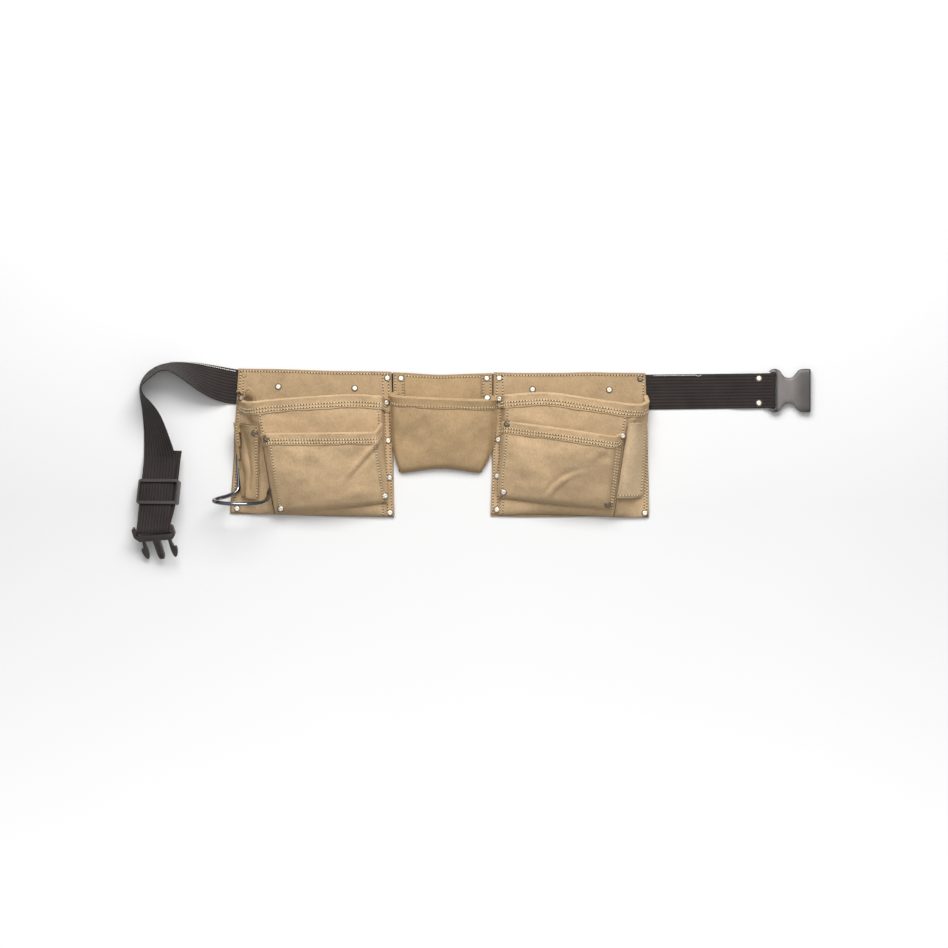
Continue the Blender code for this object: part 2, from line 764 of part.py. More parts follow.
def female_outline():
    """The female buckle's outline: square shoulders at the web, a waist and a straight mouth."""
    half = FEMALE_WIDTH / 2
    mouth = FEMALE_LENGTH
    side = [(-5.0, half - 5.0), (-2.5, half - 1.2), (1.0, half), (6.0, half - 0.5), (10.0, half - 3.0)]
    waist = [(14.5, half - 9.0), (19.5, half - 12.0), (25.0, half - 12.0), (30.0, half - 9.0)]
    shoulder = [(34.5, half - 2.6), (38.0, half - 0.6), (mouth, half)]
    upper = side + waist + shoulder
    lower = [(x, -y) for x, y in reversed(upper)]
    return upper + lower


def box_points(low, high):
    outline = [(low[0], low[1]), (high[0], low[1]), (high[0], high[1]), (low[0], high[1])]
    return outline, low[2], high[2]


def female_buckle(finish):
    """The female buckle: a socket open at its mouth, side windows for the arms, and a web bar."""
    y = web_y(FEMALE_BAR_X)
    base = FEMALE_BAR_Z - FEMALE_THICK / 2
    outline = [(FEMALE_BAR_X + px, y + py) for px, py in female_outline()]
    origin = (FEMALE_BAR_X, y, FEMALE_BAR_Z)
    body = prism("female_buckle", outline, base, base + FEMALE_THICK, finish, origin=origin)
    half = SOCKET_WIDTH / 2
    mid = FEMALE_BAR_Z
    helpers = {
        "web_slot": ((-12.0, -26.4, -12.0), (WEB_SLOT_END, 26.4, 12.0)),
        "socket": ((13.0, -half + 12.5, -SOCKET_HEIGHT / 2), (60.0, half - 12.5, SOCKET_HEIGHT / 2)),
        "mouth": ((31.5, -half, -SOCKET_HEIGHT / 2), (60.0, half, SOCKET_HEIGHT / 2)),
    }
    for name, (low, high) in helpers.items():
        low = (FEMALE_BAR_X + low[0], y + low[1], mid + low[2])
        high = (FEMALE_BAR_X + high[0], y + high[1], mid + high[2])
        cut(body, prism(f"cutter_{name}", *box_points(low, high), None))
    frame = Frame(origin, (0.0, 1.0, 0.0), (1.0, 0.0, 0.0))
    join_to(body, bar_cylinder("helper_female_bar", frame, 55.0, None))
    shade_round(body)
    return body


def male_frame():
    """The male buckle's frame at its bar, folded down from the strap's run."""
    frame = strap_frame()
    origin = frame.place((0.6 + WEB_WIDTH / 2, STRAP_STRAIGHT_LENGTH, -TAIL_DROP / 2))
    return frame.turned(origin, BUCKLE_YAW, MALE_FOLD)


def male_buckle(finish):
    """The male buckle's frame with its web bar and centre prong."""
    frame = male_frame()
    half = MALE_FRAME_WIDTH / 2
    thick = MALE_THICK / 2
    outline = [(-half, -5.0), (-half + 3.0, -6.5), (half - 3.0, -6.5), (half, -5.0)]
    outline += [(half, 8.0), (half - 4.0, MALE_FRAME_LENGTH - 3.5), (half - 5.5, MALE_FRAME_LENGTH)]
    outline += [(5.5, MALE_FRAME_LENGTH), (5.5, 44.0), (3.5, 48.0), (-3.5, 48.0), (-5.5, 44.0)]
    outline += [(-5.5, MALE_FRAME_LENGTH), (-half + 5.5, MALE_FRAME_LENGTH)]
    outline += [(-half + 4.0, MALE_FRAME_LENGTH - 3.5), (-half, 8.0)]
    body = prism("male_buckle", outline, -thick, thick, finish, frame, frame.origin)
    slot = [(-26.4, -12.0), (26.4, -12.0), (26.4, 6.2), (-26.4, 6.2)]
    cut(body, prism("cutter_male_slot", slot, -12.0, 12.0, None, frame))
    join_to(body, bar_cylinder("helper_male_bar", frame, 56.0, None))
    shade_round(body)
    return body


def buckle_arm(side, sign, finish):
    """A sprung arm of the male buckle, with a barbed head at its end."""
    frame = male_frame()
    root = MALE_FRAME_LENGTH + 0.4
    stem = [(-1.7, root), (1.7, root), (3.4, root + 13.5), (6.4, root + 13.0), (6.8, root + 19.0)]
    stem += [(4.6, root + 27.0), (2.0, root + 30.0), (-1.2, root + 27.5), (-2.4, root + 15.0)]
    placed = [(sign * (ARM_HALF_SPAN - 2.0 + x), y) for x, y in stem]
    pivot = frame.place((sign * (ARM_HALF_SPAN - 2.0), root, 0.0))
    return prism(f"buckle_arm_{side}", placed, -2.2, 2.2, finish, frame, pivot)


def tri_glide(finish):
    """The tri-glide: end bars over the web's two layers, a centre bar under them, rails beside."""
    strap = strap_frame()
    centre = strap.place((WEB_WIDTH / 2 + TAIL_SHIFT / 2, GLIDE_AT, -TAIL_DROP / 2))
    frame = Frame(centre, strap.across, strap.along)
    inner = (WEB_WIDTH + TAIL_SHIFT) / 2 + 0.7
    width = 2 * (inner + GLIDE_RAIL)
    level = TAIL_DROP / 2 + WEB / 2 + 0.5
    high = level + GLIDE_BAR_THICK
    outline = rounded_rectangle(width, GLIDE_LENGTH, 4.0)
    body = prism("tri_glide", outline, -high, high, finish, frame, centre)
    half = GLIDE_LENGTH / 2
    tunnel = [(-inner, -half - 5.0), (inner, -half - 5.0), (inner, half + 5.0), (-inner, half + 5.0)]
    cut(body, prism("cutter_glide_tunnel", tunnel, -level, level, None, frame))
    window = [(x, y) for x, y in rounded_rectangle(2 * inner, GLIDE_LENGTH - 2 * GLIDE_BAR, 2.0)]
    cut(body, prism("cutter_glide_top", window, 0.0, high + 5.0, None, frame))
    for name, near, far in (("upper", -half - 5.0, -3.0), ("lower", 3.0, half + 5.0)):
        under = [(-inner, near), (inner, near), (inner, far), (-inner, far)]
        cut(body, prism(f"cutter_glide_{name}", under, -high - 5.0, 0.0, None, frame))
    shade_round(body)
    return body


# ---------------------------------------------------------------- assembly


def main():
    clear_scene()
    suede = material("suede", (0.56, 0.39, 0.22), 0.95)
    sleeve_suede = material("suede_grey_side", (0.52, 0.40, 0.25), 0.9)
    webbing = material("black_brown_web", (0.052, 0.040, 0.038), 0.8)
    plastic = material("grey_plastic", (0.09, 0.075, 0.07), 0.4)
    nickel = material("nickel", (0.75, 0.73, 0.70), 0.3, 1.0)
    chrome = material("chrome", (0.8, 0.8, 0.82), 0.12, 1.0)

    left_corners = ((-339.5, -72.0), (-110.5, -78.5), (-114.0, 124.5), (-328.0, 130.5))
    left_seams = [("gusset_outer", 0, 3, 8), ("front", 3, 6, 11), ("gusset_inner", 6, 8, 5)]
    left_back = bag(
        "left", left_corners, LEFT_MAIN_COLUMNS, LEFT_OUTER_COLUMNS, (3, 6), left_seams, suede
    )
    right_corners = ((26.0, -76.5), (247.0, -77.5), (242.5, 124.0), (30.3, 124.0))
    right_seams = [("gusset_inner", 0, 2, 5), ("front", 2, 5, 11), ("gusset_outer", 5, 8, 8)]
    right_back = bag(
        "right", right_corners, RIGHT_MAIN_COLUMNS, RIGHT_OUTER_COLUMNS, (2, 5), right_seams, suede
    )
    centre_back, strips = centre_section(suede)
    holder(Pouch(LEFT_MAIN_COLUMNS, seat, front=(1, 3)), suede)
    square_sleeve(Pouch(RIGHT_MAIN_COLUMNS, seat, front=(5, 8)), sleeve_suede)
    hammer_loop(chrome)

    webs = {
        "left": flat_web("left_bag_web", LEFT_STRAP_FOLD_X, LEFT_BAG_FOLD_X, webbing),
        "centre": flat_web("centre_web", LEFT_BAG_FOLD_X, RIGHT_BAG_FOLD_X, webbing),
        "right": flat_web("right_bag_web", RIGHT_BAG_FOLD_X, RIGHT_STRAP_FOLD_X, webbing),
        "strap": right_strap(webbing),
    }
    left_strap(webbing)
    female_buckle(plastic)
    male_buckle(plastic)
    buckle_arm("left", -1, plastic)
    buckle_arm("right", 1, plastic)
    tri_glide(plastic)

    def band_top(x, y):
        return back_z(x, y) + LEATHER / 2

    def flange_top(x, y):
        return back_z(x, y) + LEATHER * 1.5 + CLEAR

    def strap_top(x, y):
        return WEB_Z + WEB + 0.4 + WEB / 2

    rivets = [
        ("left_band_rivet_1", -320.0, 122.0, band_top, ("left", left_back)),
        ("left_band_rivet_2", -272.6, 104.7, band_top, ("left", left_back)),
        ("left_band_rivet_3", -165.3, 102.6, band_top, ("left", left_back)),
        ("left_band_rivet_4", -119.5, 117.0, band_top, ("left", left_back)),
        ("right_band_rivet_1", 37.5, 117.0, band_top, ("right", right_back)),
        ("right_band_rivet_2", 84.3, 100.8, band_top, ("right", right_back)),
        ("right_band_rivet_3", 192.0, 100.3, band_top, ("right", right_back)),
        ("right_band_rivet_4", 235.5, 116.0, band_top, ("right", right_back)),
        ("centre_rivet_left", -100.5, 116.5, flange_top, ("centre", centre_back, strips[0])),
        ("centre_rivet_right", 20.0, 116.5, flange_top, ("centre", centre_back, strips[1])),
        ("strap_rivet_upper", 402.0, 116.5, strap_top, ("strap",)),
        ("strap_rivet_lower", 402.0, 82.0, strap_top, ("strap",)),
    ]
    cuts = {}
    for name, x, y, surface, layers in rivets:
        rivet(name, x, y, surface(x, y), nickel)
        for layer in (webs[layers[0]], *layers[1:]):
            cuts.setdefault(layer.name, (layer, []))[1].append((x, y))

    flange_rivets = {
        "left_back_panel": [("left_inner_rivet_1", -118.2, 29.1), ("left_inner_rivet_2", -116.6, -22.8)],
        "right_back_panel": [("right_inner_rivet_1", 34.3, 30.5), ("right_inner_rivet_2", 32.7, -20.4)],
    }
    gussets = {
        "left_back_panel": bpy.data.objects["left_main_gusset_inner"],
        "right_back_panel": bpy.data.objects["right_main_gusset_inner"],
    }
    for back in (left_back, right_back):
        gusset = gussets[back.name]
        for name, x, y in flange_rivets[back.name]:
            rivet(name, x, y, flange_top(x, y), nickel)
            cuts.setdefault(back.name, (back, []))[1].append((x, y))
            cuts.setdefault(gusset.name, (gusset, []))[1].append((x, y))
    for name, (layer, places) in cuts.items():
        cut(layer, hole_cutter(f"cutter_holes_{name}", places))


main()
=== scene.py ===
"""The looks of a suede tool belt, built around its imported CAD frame.

Shapes are worked out in millimetres in the frame's own axes: +X along the belt, +Y up the
wearer, +Z off the ground that the belt lies on. They become metres in one place, mesh_piece.
"""

import math

import bmesh
import bpy
import numpy as np
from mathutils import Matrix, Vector
from mathutils.bvhtree import BVHTree


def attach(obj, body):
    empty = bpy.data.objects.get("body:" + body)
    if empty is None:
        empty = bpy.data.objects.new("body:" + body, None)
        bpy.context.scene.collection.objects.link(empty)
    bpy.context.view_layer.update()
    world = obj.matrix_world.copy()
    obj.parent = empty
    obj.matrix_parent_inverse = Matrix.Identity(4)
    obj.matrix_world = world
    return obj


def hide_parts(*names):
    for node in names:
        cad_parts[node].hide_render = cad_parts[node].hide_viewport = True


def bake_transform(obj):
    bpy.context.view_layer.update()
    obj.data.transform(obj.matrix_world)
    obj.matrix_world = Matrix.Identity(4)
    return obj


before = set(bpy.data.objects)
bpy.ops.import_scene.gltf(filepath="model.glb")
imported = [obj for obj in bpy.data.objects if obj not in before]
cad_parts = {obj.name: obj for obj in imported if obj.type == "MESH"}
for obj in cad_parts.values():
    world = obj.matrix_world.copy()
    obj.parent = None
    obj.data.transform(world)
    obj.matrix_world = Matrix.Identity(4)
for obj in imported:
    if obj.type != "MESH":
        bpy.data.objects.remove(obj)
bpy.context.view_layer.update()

MM = 0.001

# Stock sizes.
LEATHER = 2.2
WEB = 1.8
WEB_WIDTH = 49.0
CLEAR = 0.4
GRID_STEP = 2.2

# The folds where one stiff section hangs on the next, and the web's centre line through them.
LEFT_STRAP_FOLD_X = -331.0
LEFT_BAG_FOLD_X = -112.0
RIGHT_BAG_FOLD_X = 28.6
RIGHT_STRAP_FOLD_X = 250.0
FEMALE_BAR_X = 421.0
WEB_LINE_X = (LEFT_STRAP_FOLD_X, LEFT_BAG_FOLD_X, -42.0, RIGHT_BAG_FOLD_X, RIGHT_STRAP_FOLD_X, FEMALE_BAR_X)
WEB_LINE_Y = (105.0, 99.5, 96.8, 98.5, 97.5, 99.5)
WEB_Z = WEB / 2
STEP_RISE = WEB + 0.3
PANEL_GAP = 0.9

UP = np.array([0.0, 0.0, 1.0])
DOWN = Vector((0.0, 0.0, -1.0))
# A height above everything, where the rays that look for leather start.
SKY = 300.0


# ---------------------------------------------------------------- small maths


def unit(v):
    v = np.asarray(v, float)
    return v / np.maximum(np.linalg.norm(v, axis=-1, keepdims=True), 1e-9)


def mix(a, b, share):
    return a + (b - a) * share


def circle(sides):
    """(cosine, sine) at even steps round a circle."""
    turns = [2.0 * math.pi * k / sides for k in range(sides)]
    return [(math.cos(turn), math.sin(turn)) for turn in turns]


def walked(points):
    """The distance along a line to each of its points."""
    return np.concatenate([[0.0], np.cumsum(np.linalg.norm(np.diff(points, axis=0), axis=1))])


def catmull_rom(a, b, c, d, f):
    """The place at share f of the way from b to c on the smooth curve through a, b, c and d."""
    cubic = 3 * b - a - 3 * c + d
    return 0.5 * (2 * b + (c - a) * f + (2 * a - 5 * b + 4 * c - d) * f * f + cubic * f**3)


def smoothstep(low, high, value):
    share = np.clip((np.asarray(value, float) - low) / (high - low), 0.0, 1.0)
    return share * share * (3.0 - 2.0 * share)


def roll(x, y, size, seed, waves=9):
    """A smooth random height from -1 to 1 or so, with bumps of about the given size."""
    source = np.random.default_rng(seed)
    total = np.zeros(np.broadcast(x, y).shape)
    for _ in range(waves):
        turn, phase = source.uniform(0.0, 2.0 * math.pi, 2)
        reach = size * source.uniform(0.7, 1.6)
        total += np.sin((x * math.cos(turn) + y * math.sin(turn)) * 2.0 * math.pi / reach + phase)
    return total / math.sqrt(waves)


def crease(x, y, path, height, width):
    """A ridge with a dip beside it, along a path in the plane."""
    path = np.asarray(path, float)
    best = np.full(np.shape(x), 1e9)
    signed = np.zeros(np.shape(x))
    along = np.zeros(np.shape(x))
    passed = walked(path)
    for a, b, before, after in zip(path[:-1], path[1:], passed[:-1], passed[1:]):
        d = (b - a) / (after - before)
        ahead = np.clip((x - a[0]) * d[0] + (y - a[1]) * d[1], 0.0, after - before)
        dx = x - a[0] - d[0] * ahead
        dy = y - a[1] - d[1] * ahead
        away = np.hypot(dx, dy)
        nearer = away < best
        best = np.where(nearer, away, best)
        signed = np.where(nearer, np.sign(d[0] * dy - d[1] * dx) * away, signed)
        along = np.where(nearer, (before + ahead) / passed[-1], along)
    fade = smoothstep(0.0, 0.10, along) * smoothstep(1.0, 0.25, along)
    ridge = np.exp(-((best / width) ** 2))
    dip = np.exp(-(((signed - 1.5 * width) / (1.3 * width)) ** 2))
    return height * fade * (ridge - 0.6 * dip)


def smooth_curve(points, count):
    """A smooth curve through points of any dimension, read at even steps of its parameter."""
    points = np.asarray(points, float)
    padded = np.vstack([2 * points[0] - points[1], points, 2 * points[-1] - points[-2]])
    steps = np.linspace(0, len(points) - 1 - 1e-9, count)
    return np.array([catmull_rom(*padded[int(step) : int(step) + 4], step - int(step)) for step in steps])


def resampled(points, step, values=None):
    """Points at even steps along a line, and other values read at the same places."""
    reach = walked(points)
    at = np.linspace(0.0, reach[-1], max(2, int(round(reach[-1] / step)) + 1))

    def read_off(table):
        return np.stack([np.interp(at, reach, column) for column in np.asarray(table, float).T], axis=1)

    line = read_off(points)
    return line if values is None else (line, read_off(values))


def evened(line, passes):
    """A line with its corners smoothed, its ends kept."""
    line = np.array(line, float)
    for _ in range(passes):
        line[1:-1] = 0.5 * line[1:-1] + 0.25 * (line[:-2] + line[2:])
    return line


def web_y(x):
    return np.interp(x, WEB_LINE_X, WEB_LINE_Y)


# ---------------------------------------------------------------- meshes


def mesh_piece(name, points, faces, finish, attributes=None, smooth_angle=40.0):
    """A piece from points in millimetres. Its rest place and other values go to attributes."""
    mesh = bpy.data.meshes.new(name)
    places = np.asarray(points, float) * MM
    mesh.from_pydata(places.tolist(), [], [tuple(int(i) for i in face) for face in faces])
    for key, values in {"place": places, **(attributes or {})}.items():
        values = np.asarray(values, np.float32)
        kind, member = ("FLOAT_VECTOR", "vector") if values.ndim == 2 else ("FLOAT", "value")
        mesh.attributes.new(key, kind, "POINT").data.foreach_set(member, values.ravel())
    mesh.materials.append(finish)
    obj = bpy.data.objects.new(name, mesh)
    bpy.context.scene.collection.objects.link(obj)
    mesh.validate()
    mesh.shade_smooth()
    mesh.set_sharp_from_angle(angle=math.radians(smooth_angle))
    return obj


def grid_faces(rows, columns, start=0, flip=False):
    index = np.arange(rows * columns).reshape(rows, columns) + start
    quads = np.stack([index[:-1, :-1], index[:-1, 1:], index[1:, 1:], index[1:, :-1]], axis=-1)
    quads = quads.reshape(-1, 4)
    return quads[:, ::-1] if flip else quads


def ring_faces(rings, sides, start=0):
    """Faces between rings of points that each close on themselves."""
    faces = []
    for i in range(rings - 1):
        for k in range(sides):
            here = start + i * sides + k
            following = start + i * sides + (k + 1) % sides
            faces.append((here, following, following + sides, here + sides))
    return faces


def tube_faces(rings, sides, start=0):
    """The faces of ring_faces, and one more over each end."""
    last = start + (rings - 1) * sides
    ends = [tuple(reversed(range(start, start + sides))), tuple(range(last, last + sides))]
    return ring_faces(rings, sides, start) + ends


class Grid:
    """A sheet's centre surface as a dense grid, which can be read at any share of its sides."""

    def __init__(self, points, outward=UP):
        self.points = points
        self.rows, self.columns = points.shape[:2]
        self.normals = unit(np.cross(np.gradient(points, axis=1), np.gradient(points, axis=0)))
        if (self.normals @ outward).mean() < 0:
            self.normals = -self.normals

    def read(self, a, b):
        """(places, normals) at shares a of the columns and b of the rows."""
        a = np.clip(np.asarray(a, float), 0.0, 1.0) * (self.columns - 1)
        b = np.clip(np.asarray(b, float), 0.0, 1.0) * (self.rows - 1)
        i = np.minimum(b.astype(int), self.rows - 2)
        j = np.minimum(a.astype(int), self.columns - 2)
        fb, fa = (b - i)[..., None], (a - j)[..., None]
        found = []
        for table in (self.points, self.normals):
            low = mix(table[i, j], table[i, j + 1], fa)
            high = mix(table[i + 1, j], table[i + 1, j + 1], fa)
            found.append(mix(low, high, fb))
        return found[0], unit(found[1])


def perimeter(rows, columns):
    """Indices round a grid's edge, in order, each once."""
    index = np.arange(rows * columns).reshape(rows, columns)
    return np.concatenate([index[0, :-1], index[:-1, -1], index[-1, :0:-1], index[:0:-1, 0]])


# A raw edge's section, as angles round it, and how far it stands out as a share of the thickness.
EDGE_TURNS = (70.0, 35.0, 0.0, -35.0, -70.0)
EDGE_BULGE = 0.28
# The darkening near a sheet's edge, partly edge wear and partly painted shade, fades over this many of the
# grid's steps.
WEAR_AND_SHADE_STEPS = 3


def leather_sheet(name, grid, finish, thickness=LEATHER):
    """A sheet of leather about a centre surface, with softly rounded raw edges."""
    rows, columns = grid.rows, grid.columns
    centre = grid.points.reshape(-1, 3)
    normal = grid.normals.reshape(-1, 3)
    half, bulge = thickness / 2, EDGE_BULGE * thickness
    rim = perimeter(rows, columns)
    middle = centre[rim]
    ahead = unit(np.roll(middle, -1, axis=0) - np.roll(middle, 1, axis=0))
    outward = unit(np.cross(ahead, normal[rim]))
    if np.einsum("ij,ij->i", outward, middle - centre.mean(axis=0)).mean() < 0:
        outward = -outward
    points = [centre + normal * half, centre - normal * half]
    for turn in np.radians(EDGE_TURNS):
        points.append(middle + outward * bulge * math.cos(turn) + normal[rim] * half * math.sin(turn))
    faces = [*grid_faces(rows, columns), *grid_faces(rows, columns, rows * columns, flip=True)]
    size, ring, count = rows * columns, len(rim), len(EDGE_TURNS)
    chains = [rim, *(np.arange(ring) + 2 * size + k * ring for k in range(count)), rim + size]
    for upper, lower in zip(chains[:-1], chains[1:]):
        faces += [*np.stack([upper, lower, np.roll(lower, -1), np.roll(upper, -1)], axis=1)]
    # Points near the rim are marked for darkening: partly edge wear, partly painted shade along the edges.
    steps = [np.minimum(np.arange(n), np.arange(n)[::-1]) for n in (rows, columns)]
    wear_and_shade = np.clip(1.0 - np.minimum.outer(*steps) / WEAR_AND_SHADE_STEPS, 0.0, 1.0).ravel()
    edge = np.concatenate([wear_and_shade, wear_and_shade, np.ones(count * ring)])
    inside = np.concatenate([np.zeros(size), np.ones(size), np.zeros(count * ring)])
    return mesh_piece(name, np.vstack(points), faces, finish, {"edge": edge, "inside": inside})


def swept(name, line, side, lift, sections, finish, edge):
    """A piece swept along a line, with one closed section of (side, lift) pairs for each place.

    side and lift are the directions of the sections' two axes, and edge is how much each of a
    section's points is darkened, partly as wear and partly as painted shade.
    """
    points = line[:, None] + side[:, None] * sections[:, :, :1] + lift[:, None] * sections[:, :, 1:]
    flat = points.reshape(-1, 3)
    values = {"edge": np.tile(edge, len(line)), "inside": np.zeros(len(flat))}
    return mesh_piece(name, flat, tube_faces(len(line), sections.shape[1]), finish, values)


def face_out(obj):
    """Turns a closed piece's faces outward."""
    work = bmesh.new()
    work.from_mesh(obj.data)
    bmesh.ops.recalc_face_normals(work, faces=work.faces)
    work.to_mesh(obj.data)
    work.free()
    return obj


def fasten(piece, body, slot, *nodes):
    """Puts a piece on its body, in place of the CAD nodes that it stands for. Its slot is not used."""
    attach(piece, body)
    if nodes:
        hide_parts(*nodes)


# ---------------------------------------------------------------- stitching and rivets

STITCH_PITCH = 4.1
STITCH_LENGTH = 2.4
STITCH_WIDTH = 1.5
# A stitch's rings: share of its length, then girth and rise as shares of its width.
STITCH_RINGS = (
    (-0.5, 0.25, -0.25), (-0.36, 0.85, 0.28), (0.0, 1.0, 0.46), (0.36, 0.85, 0.28), (0.5, 0.25, -0.25),
)
STITCH_SIDES = 6
# A needle hole is a flat dark disc on the leather: painted shade where the hole would be.
NEEDLE_HOLE_RADIUS = 0.95
NEEDLE_HOLE_LIFT = 0.34
NEEDLE_HOLE_SIDES = 7


class Rows:
    """Rows of stitches and their needle holes, gathered for one body."""

    def __init__(self):
        self.threads, self.thread_faces = [], []
        self.holes, self.hole_faces = [], []
        self.threads_made = self.holes_made = 0

    def add(self, places, normals, pitch=STITCH_PITCH, length=STITCH_LENGTH, width=STITCH_WIDTH):
        line, normal = resampled(places, pitch, normals)
        normal = unit(normal)
        middle = (line[1:] + line[:-1]) / 2
        up = unit(normal[1:] + normal[:-1])
        ahead = unit(line[1:] - line[:-1])
        source = np.random.default_rng(len(self.threads) + 5)
        side = unit(np.cross(up, ahead))
        lean = source.normal(0.0, 0.055, len(middle))[:, None]
        ahead = unit(ahead + side * lean)
        side = unit(np.cross(up, ahead))
        stretch = source.uniform(0.92, 1.06, len(middle))[:, None]
        rings = []
        for share, girth, rise in STITCH_RINGS:
            centre = middle + ahead * (share * length) * stretch + up * rise * width
            for c, s in circle(STITCH_SIDES):
                rings.append(centre + (side * c * 0.5 + up * s * 0.42) * girth * width)
        block = np.stack(rings, axis=1)
        for _ in block:
            self.thread_faces += tube_faces(len(STITCH_RINGS), STITCH_SIDES, self.threads_made)
            self.threads_made += block.shape[1]
        # One entry for each row, because their number is the next row's seed.
        self.threads.append(block.reshape(-1, 3))
        self.add_holes(line, normal)

    def add_holes(self, line, normal):
        flat = unit(np.cross(normal, (0.31, 0.95, 0.05)))
        other = np.cross(normal, flat)
        place = line + normal * NEEDLE_HOLE_LIFT
        ring = [place + (flat * c + other * s) * NEEDLE_HOLE_RADIUS for c, s in circle(NEEDLE_HOLE_SIDES)]
        block = np.stack(ring, axis=1)
        for _ in block:
            self.hole_faces.append(tuple(range(self.holes_made, self.holes_made + NEEDLE_HOLE_SIDES)))
            self.holes_made += NEEDLE_HOLE_SIDES
        self.holes.append(block.reshape(-1, 3))

    def along(self, grid, start, end, above=LEATHER / 2):
        """A straight row between two places of a sheet, given as shares of its sides, on its outer face."""
        shares = np.linspace(0.0, 1.0, 60)[:, None]
        ab = mix(np.array(start), np.array(end), shares)
        places, normals = grid.read(ab[:, 0], ab[:, 1])
        self.add(places + normals * above, normals)

    def make(self, body, thread, hole_shade):
        points, holes = np.vstack(self.threads), np.vstack(self.holes)
        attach(mesh_piece(f"{body}_thread", points, self.thread_faces, thread, smooth_angle=80), body)
        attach(mesh_piece(f"{body}_needle_hole_shade", holes, self.hole_faces, hole_shade), body)


# A rivet's cap and the dented leather round it, as (radius, height) pairs. The cap's first pair is
# the middle of its hollow.
CAP_PROFILE = (
    (0.0, 0.75), (0.55, 0.82), (0.95, 1.08), (1.6, 1.20), (2.4, 1.12),
    (3.0, 0.92), (3.45, 0.55), (3.65, 0.15), (3.6, -0.2), (3.2, -0.4),
)
SEAT_PROFILE = ((3.2, 0.16), (4.0, 0.30), (4.65, 0.22), (4.9, -0.15), (4.6, -0.6), (3.2, -0.6))
CAP_SIDES = 36


def turned_rings(profile, place, normal):
    """The points of (radius, height) pairs turned about an axis at a place."""
    flat = unit(np.cross(normal, (0.2, 1.0, 0.1)))
    other = np.cross(normal, flat)
    points = []
    for radius, height in profile:
        points += [place + (flat * c + other * s) * radius + normal * height for c, s in circle(CAP_SIDES)]
    return points


def rivet_cap(name, place, normal, finish):
    """A tubular rivet's cap: a low ring-shaped dome with a hollow at its middle."""
    points = [place + normal * CAP_PROFILE[0][1], *turned_rings(CAP_PROFILE[1:], place, normal)]
    faces = [(0, 1 + k, 1 + (k + 1) % CAP_SIDES) for k in range(CAP_SIDES)]
    faces += ring_faces(len(CAP_PROFILE) - 1, CAP_SIDES, 1)
    faces.append(tuple(1 + (len(CAP_PROFILE) - 2) * CAP_SIDES + k for k in range(CAP_SIDES)))
    return face_out(mesh_piece(name, points, faces, finish, smooth_angle=60))


def rivet_seat(name, place, normal, finish):
    """The dented ring of leather that a cap is pressed into, dark with painted contact shadow."""
    points = turned_rings(SEAT_PROFILE, place, normal)
    faces = ring_faces(len(SEAT_PROFILE), CAP_SIDES)
    inner, outer = range(CAP_SIDES), range((len(SEAT_PROFILE) - 1) * CAP_SIDES, len(points))
    for k in range(CAP_SIDES):
        following = (k + 1) % CAP_SIDES
        faces.append((inner[k], inner[following], outer[following], outer[k]))
    return face_out(mesh_piece(name, points, faces, finish, smooth_angle=60))


# The sideways part of a rivet's axis stays below this.
MOST_RIVET_LEAN = 0.30


class Ground:
    """Finds what lies under a place, looking straight down on some pieces."""

    def __init__(self, pieces):
        self.trees = []
        for piece in pieces:
            points = np.array([v.co for v in piece.data.vertices], float) / MM
            faces = [tuple(p.vertices) for p in piece.data.polygons]
            self.trees.append(BVHTree.FromPolygons([Vector(p) for p in points], faces))

    def top(self, x, y):
        """(place, normal) of the highest surface under a point."""
        best = None
        for tree in self.trees:
            hit, normal, _, _ = tree.ray_cast(Vector((x, y, SKY)), DOWN)
            if hit is not None and (best is None or hit.z > best[0].z):
                best = (hit, normal if normal.z > 0 else -normal)
        if best is None:
            raise ValueError(f"nothing lies under {x}, {y}")
        return np.array(best[0]), np.array(best[1])

    def settled(self, x, y, reach=3.6):
        """(place, normal) of a cap that beds into the leather there: near level, on its high parts."""
        ring = np.array([self.top(x + reach * c, y + reach * s)[0] for c, s in circle(12)])
        _, _, axes = np.linalg.svd(ring - ring.mean(axis=0))
        normal = axes[2] if axes[2][2] > 0 else -axes[2]
        flat = np.hypot(normal[0], normal[1])
        if flat > MOST_RIVET_LEAN:
            normal = unit([*(normal[:2] * MOST_RIVET_LEAN / flat), 1.0])
        away = ring - (x, y, 0.0)
        levels = away[:, 2] + (away[:, 0] * normal[0] + away[:, 1] * normal[1]) / normal[2]
        return np.array([x, y, np.quantile(levels, 0.7)]), normal


class HeightField:
    """The height of a sheet's centre surface above any place in the plane."""

    def __init__(self, grid):
        points = [Vector(p) for p in grid.points.reshape(-1, 3)]
        self.tree = BVHTree.FromPolygons(points, grid_faces(grid.rows, grid.columns).tolist())

    def one(self, x, y):
        hit, _, _, _ = self.tree.ray_cast(Vector((x, y, SKY)), DOWN)
        if hit is None:
            hit, _, _, _ = self.tree.find_nearest(Vector((x, y, 30.0)))
        return hit.z

    def __call__(self, x, y):
        x, y = np.broadcast_arrays(x, y)
        return np.array([self.one(a, b) for a, b in zip(x.ravel(), y.ravel())]).reshape(x.shape)


# ---------------------------------------------------------------- leather surfaces


def back_z(x, y):
    """Centre height of a back panel: flat on the ground, and a step up where it covers the web."""
    lower_edge = web_y(x) - WEB_WIDTH / 2
    return LEATHER / 2 + STEP_RISE * smoothstep(lower_edge - 9.0, lower_edge - 0.5, y)


def seat(x, y):
    """Centre height of leather on a back panel. It steps up sooner than the panel, to clear it."""
    lower_edge = web_y(x) - WEB_WIDTH / 2
    share = np.clip((y - lower_edge + 30.0) / 21.0, 0.0, 1.0)
    return LEATHER / 2 + STEP_RISE * share + LEATHER + CLEAR


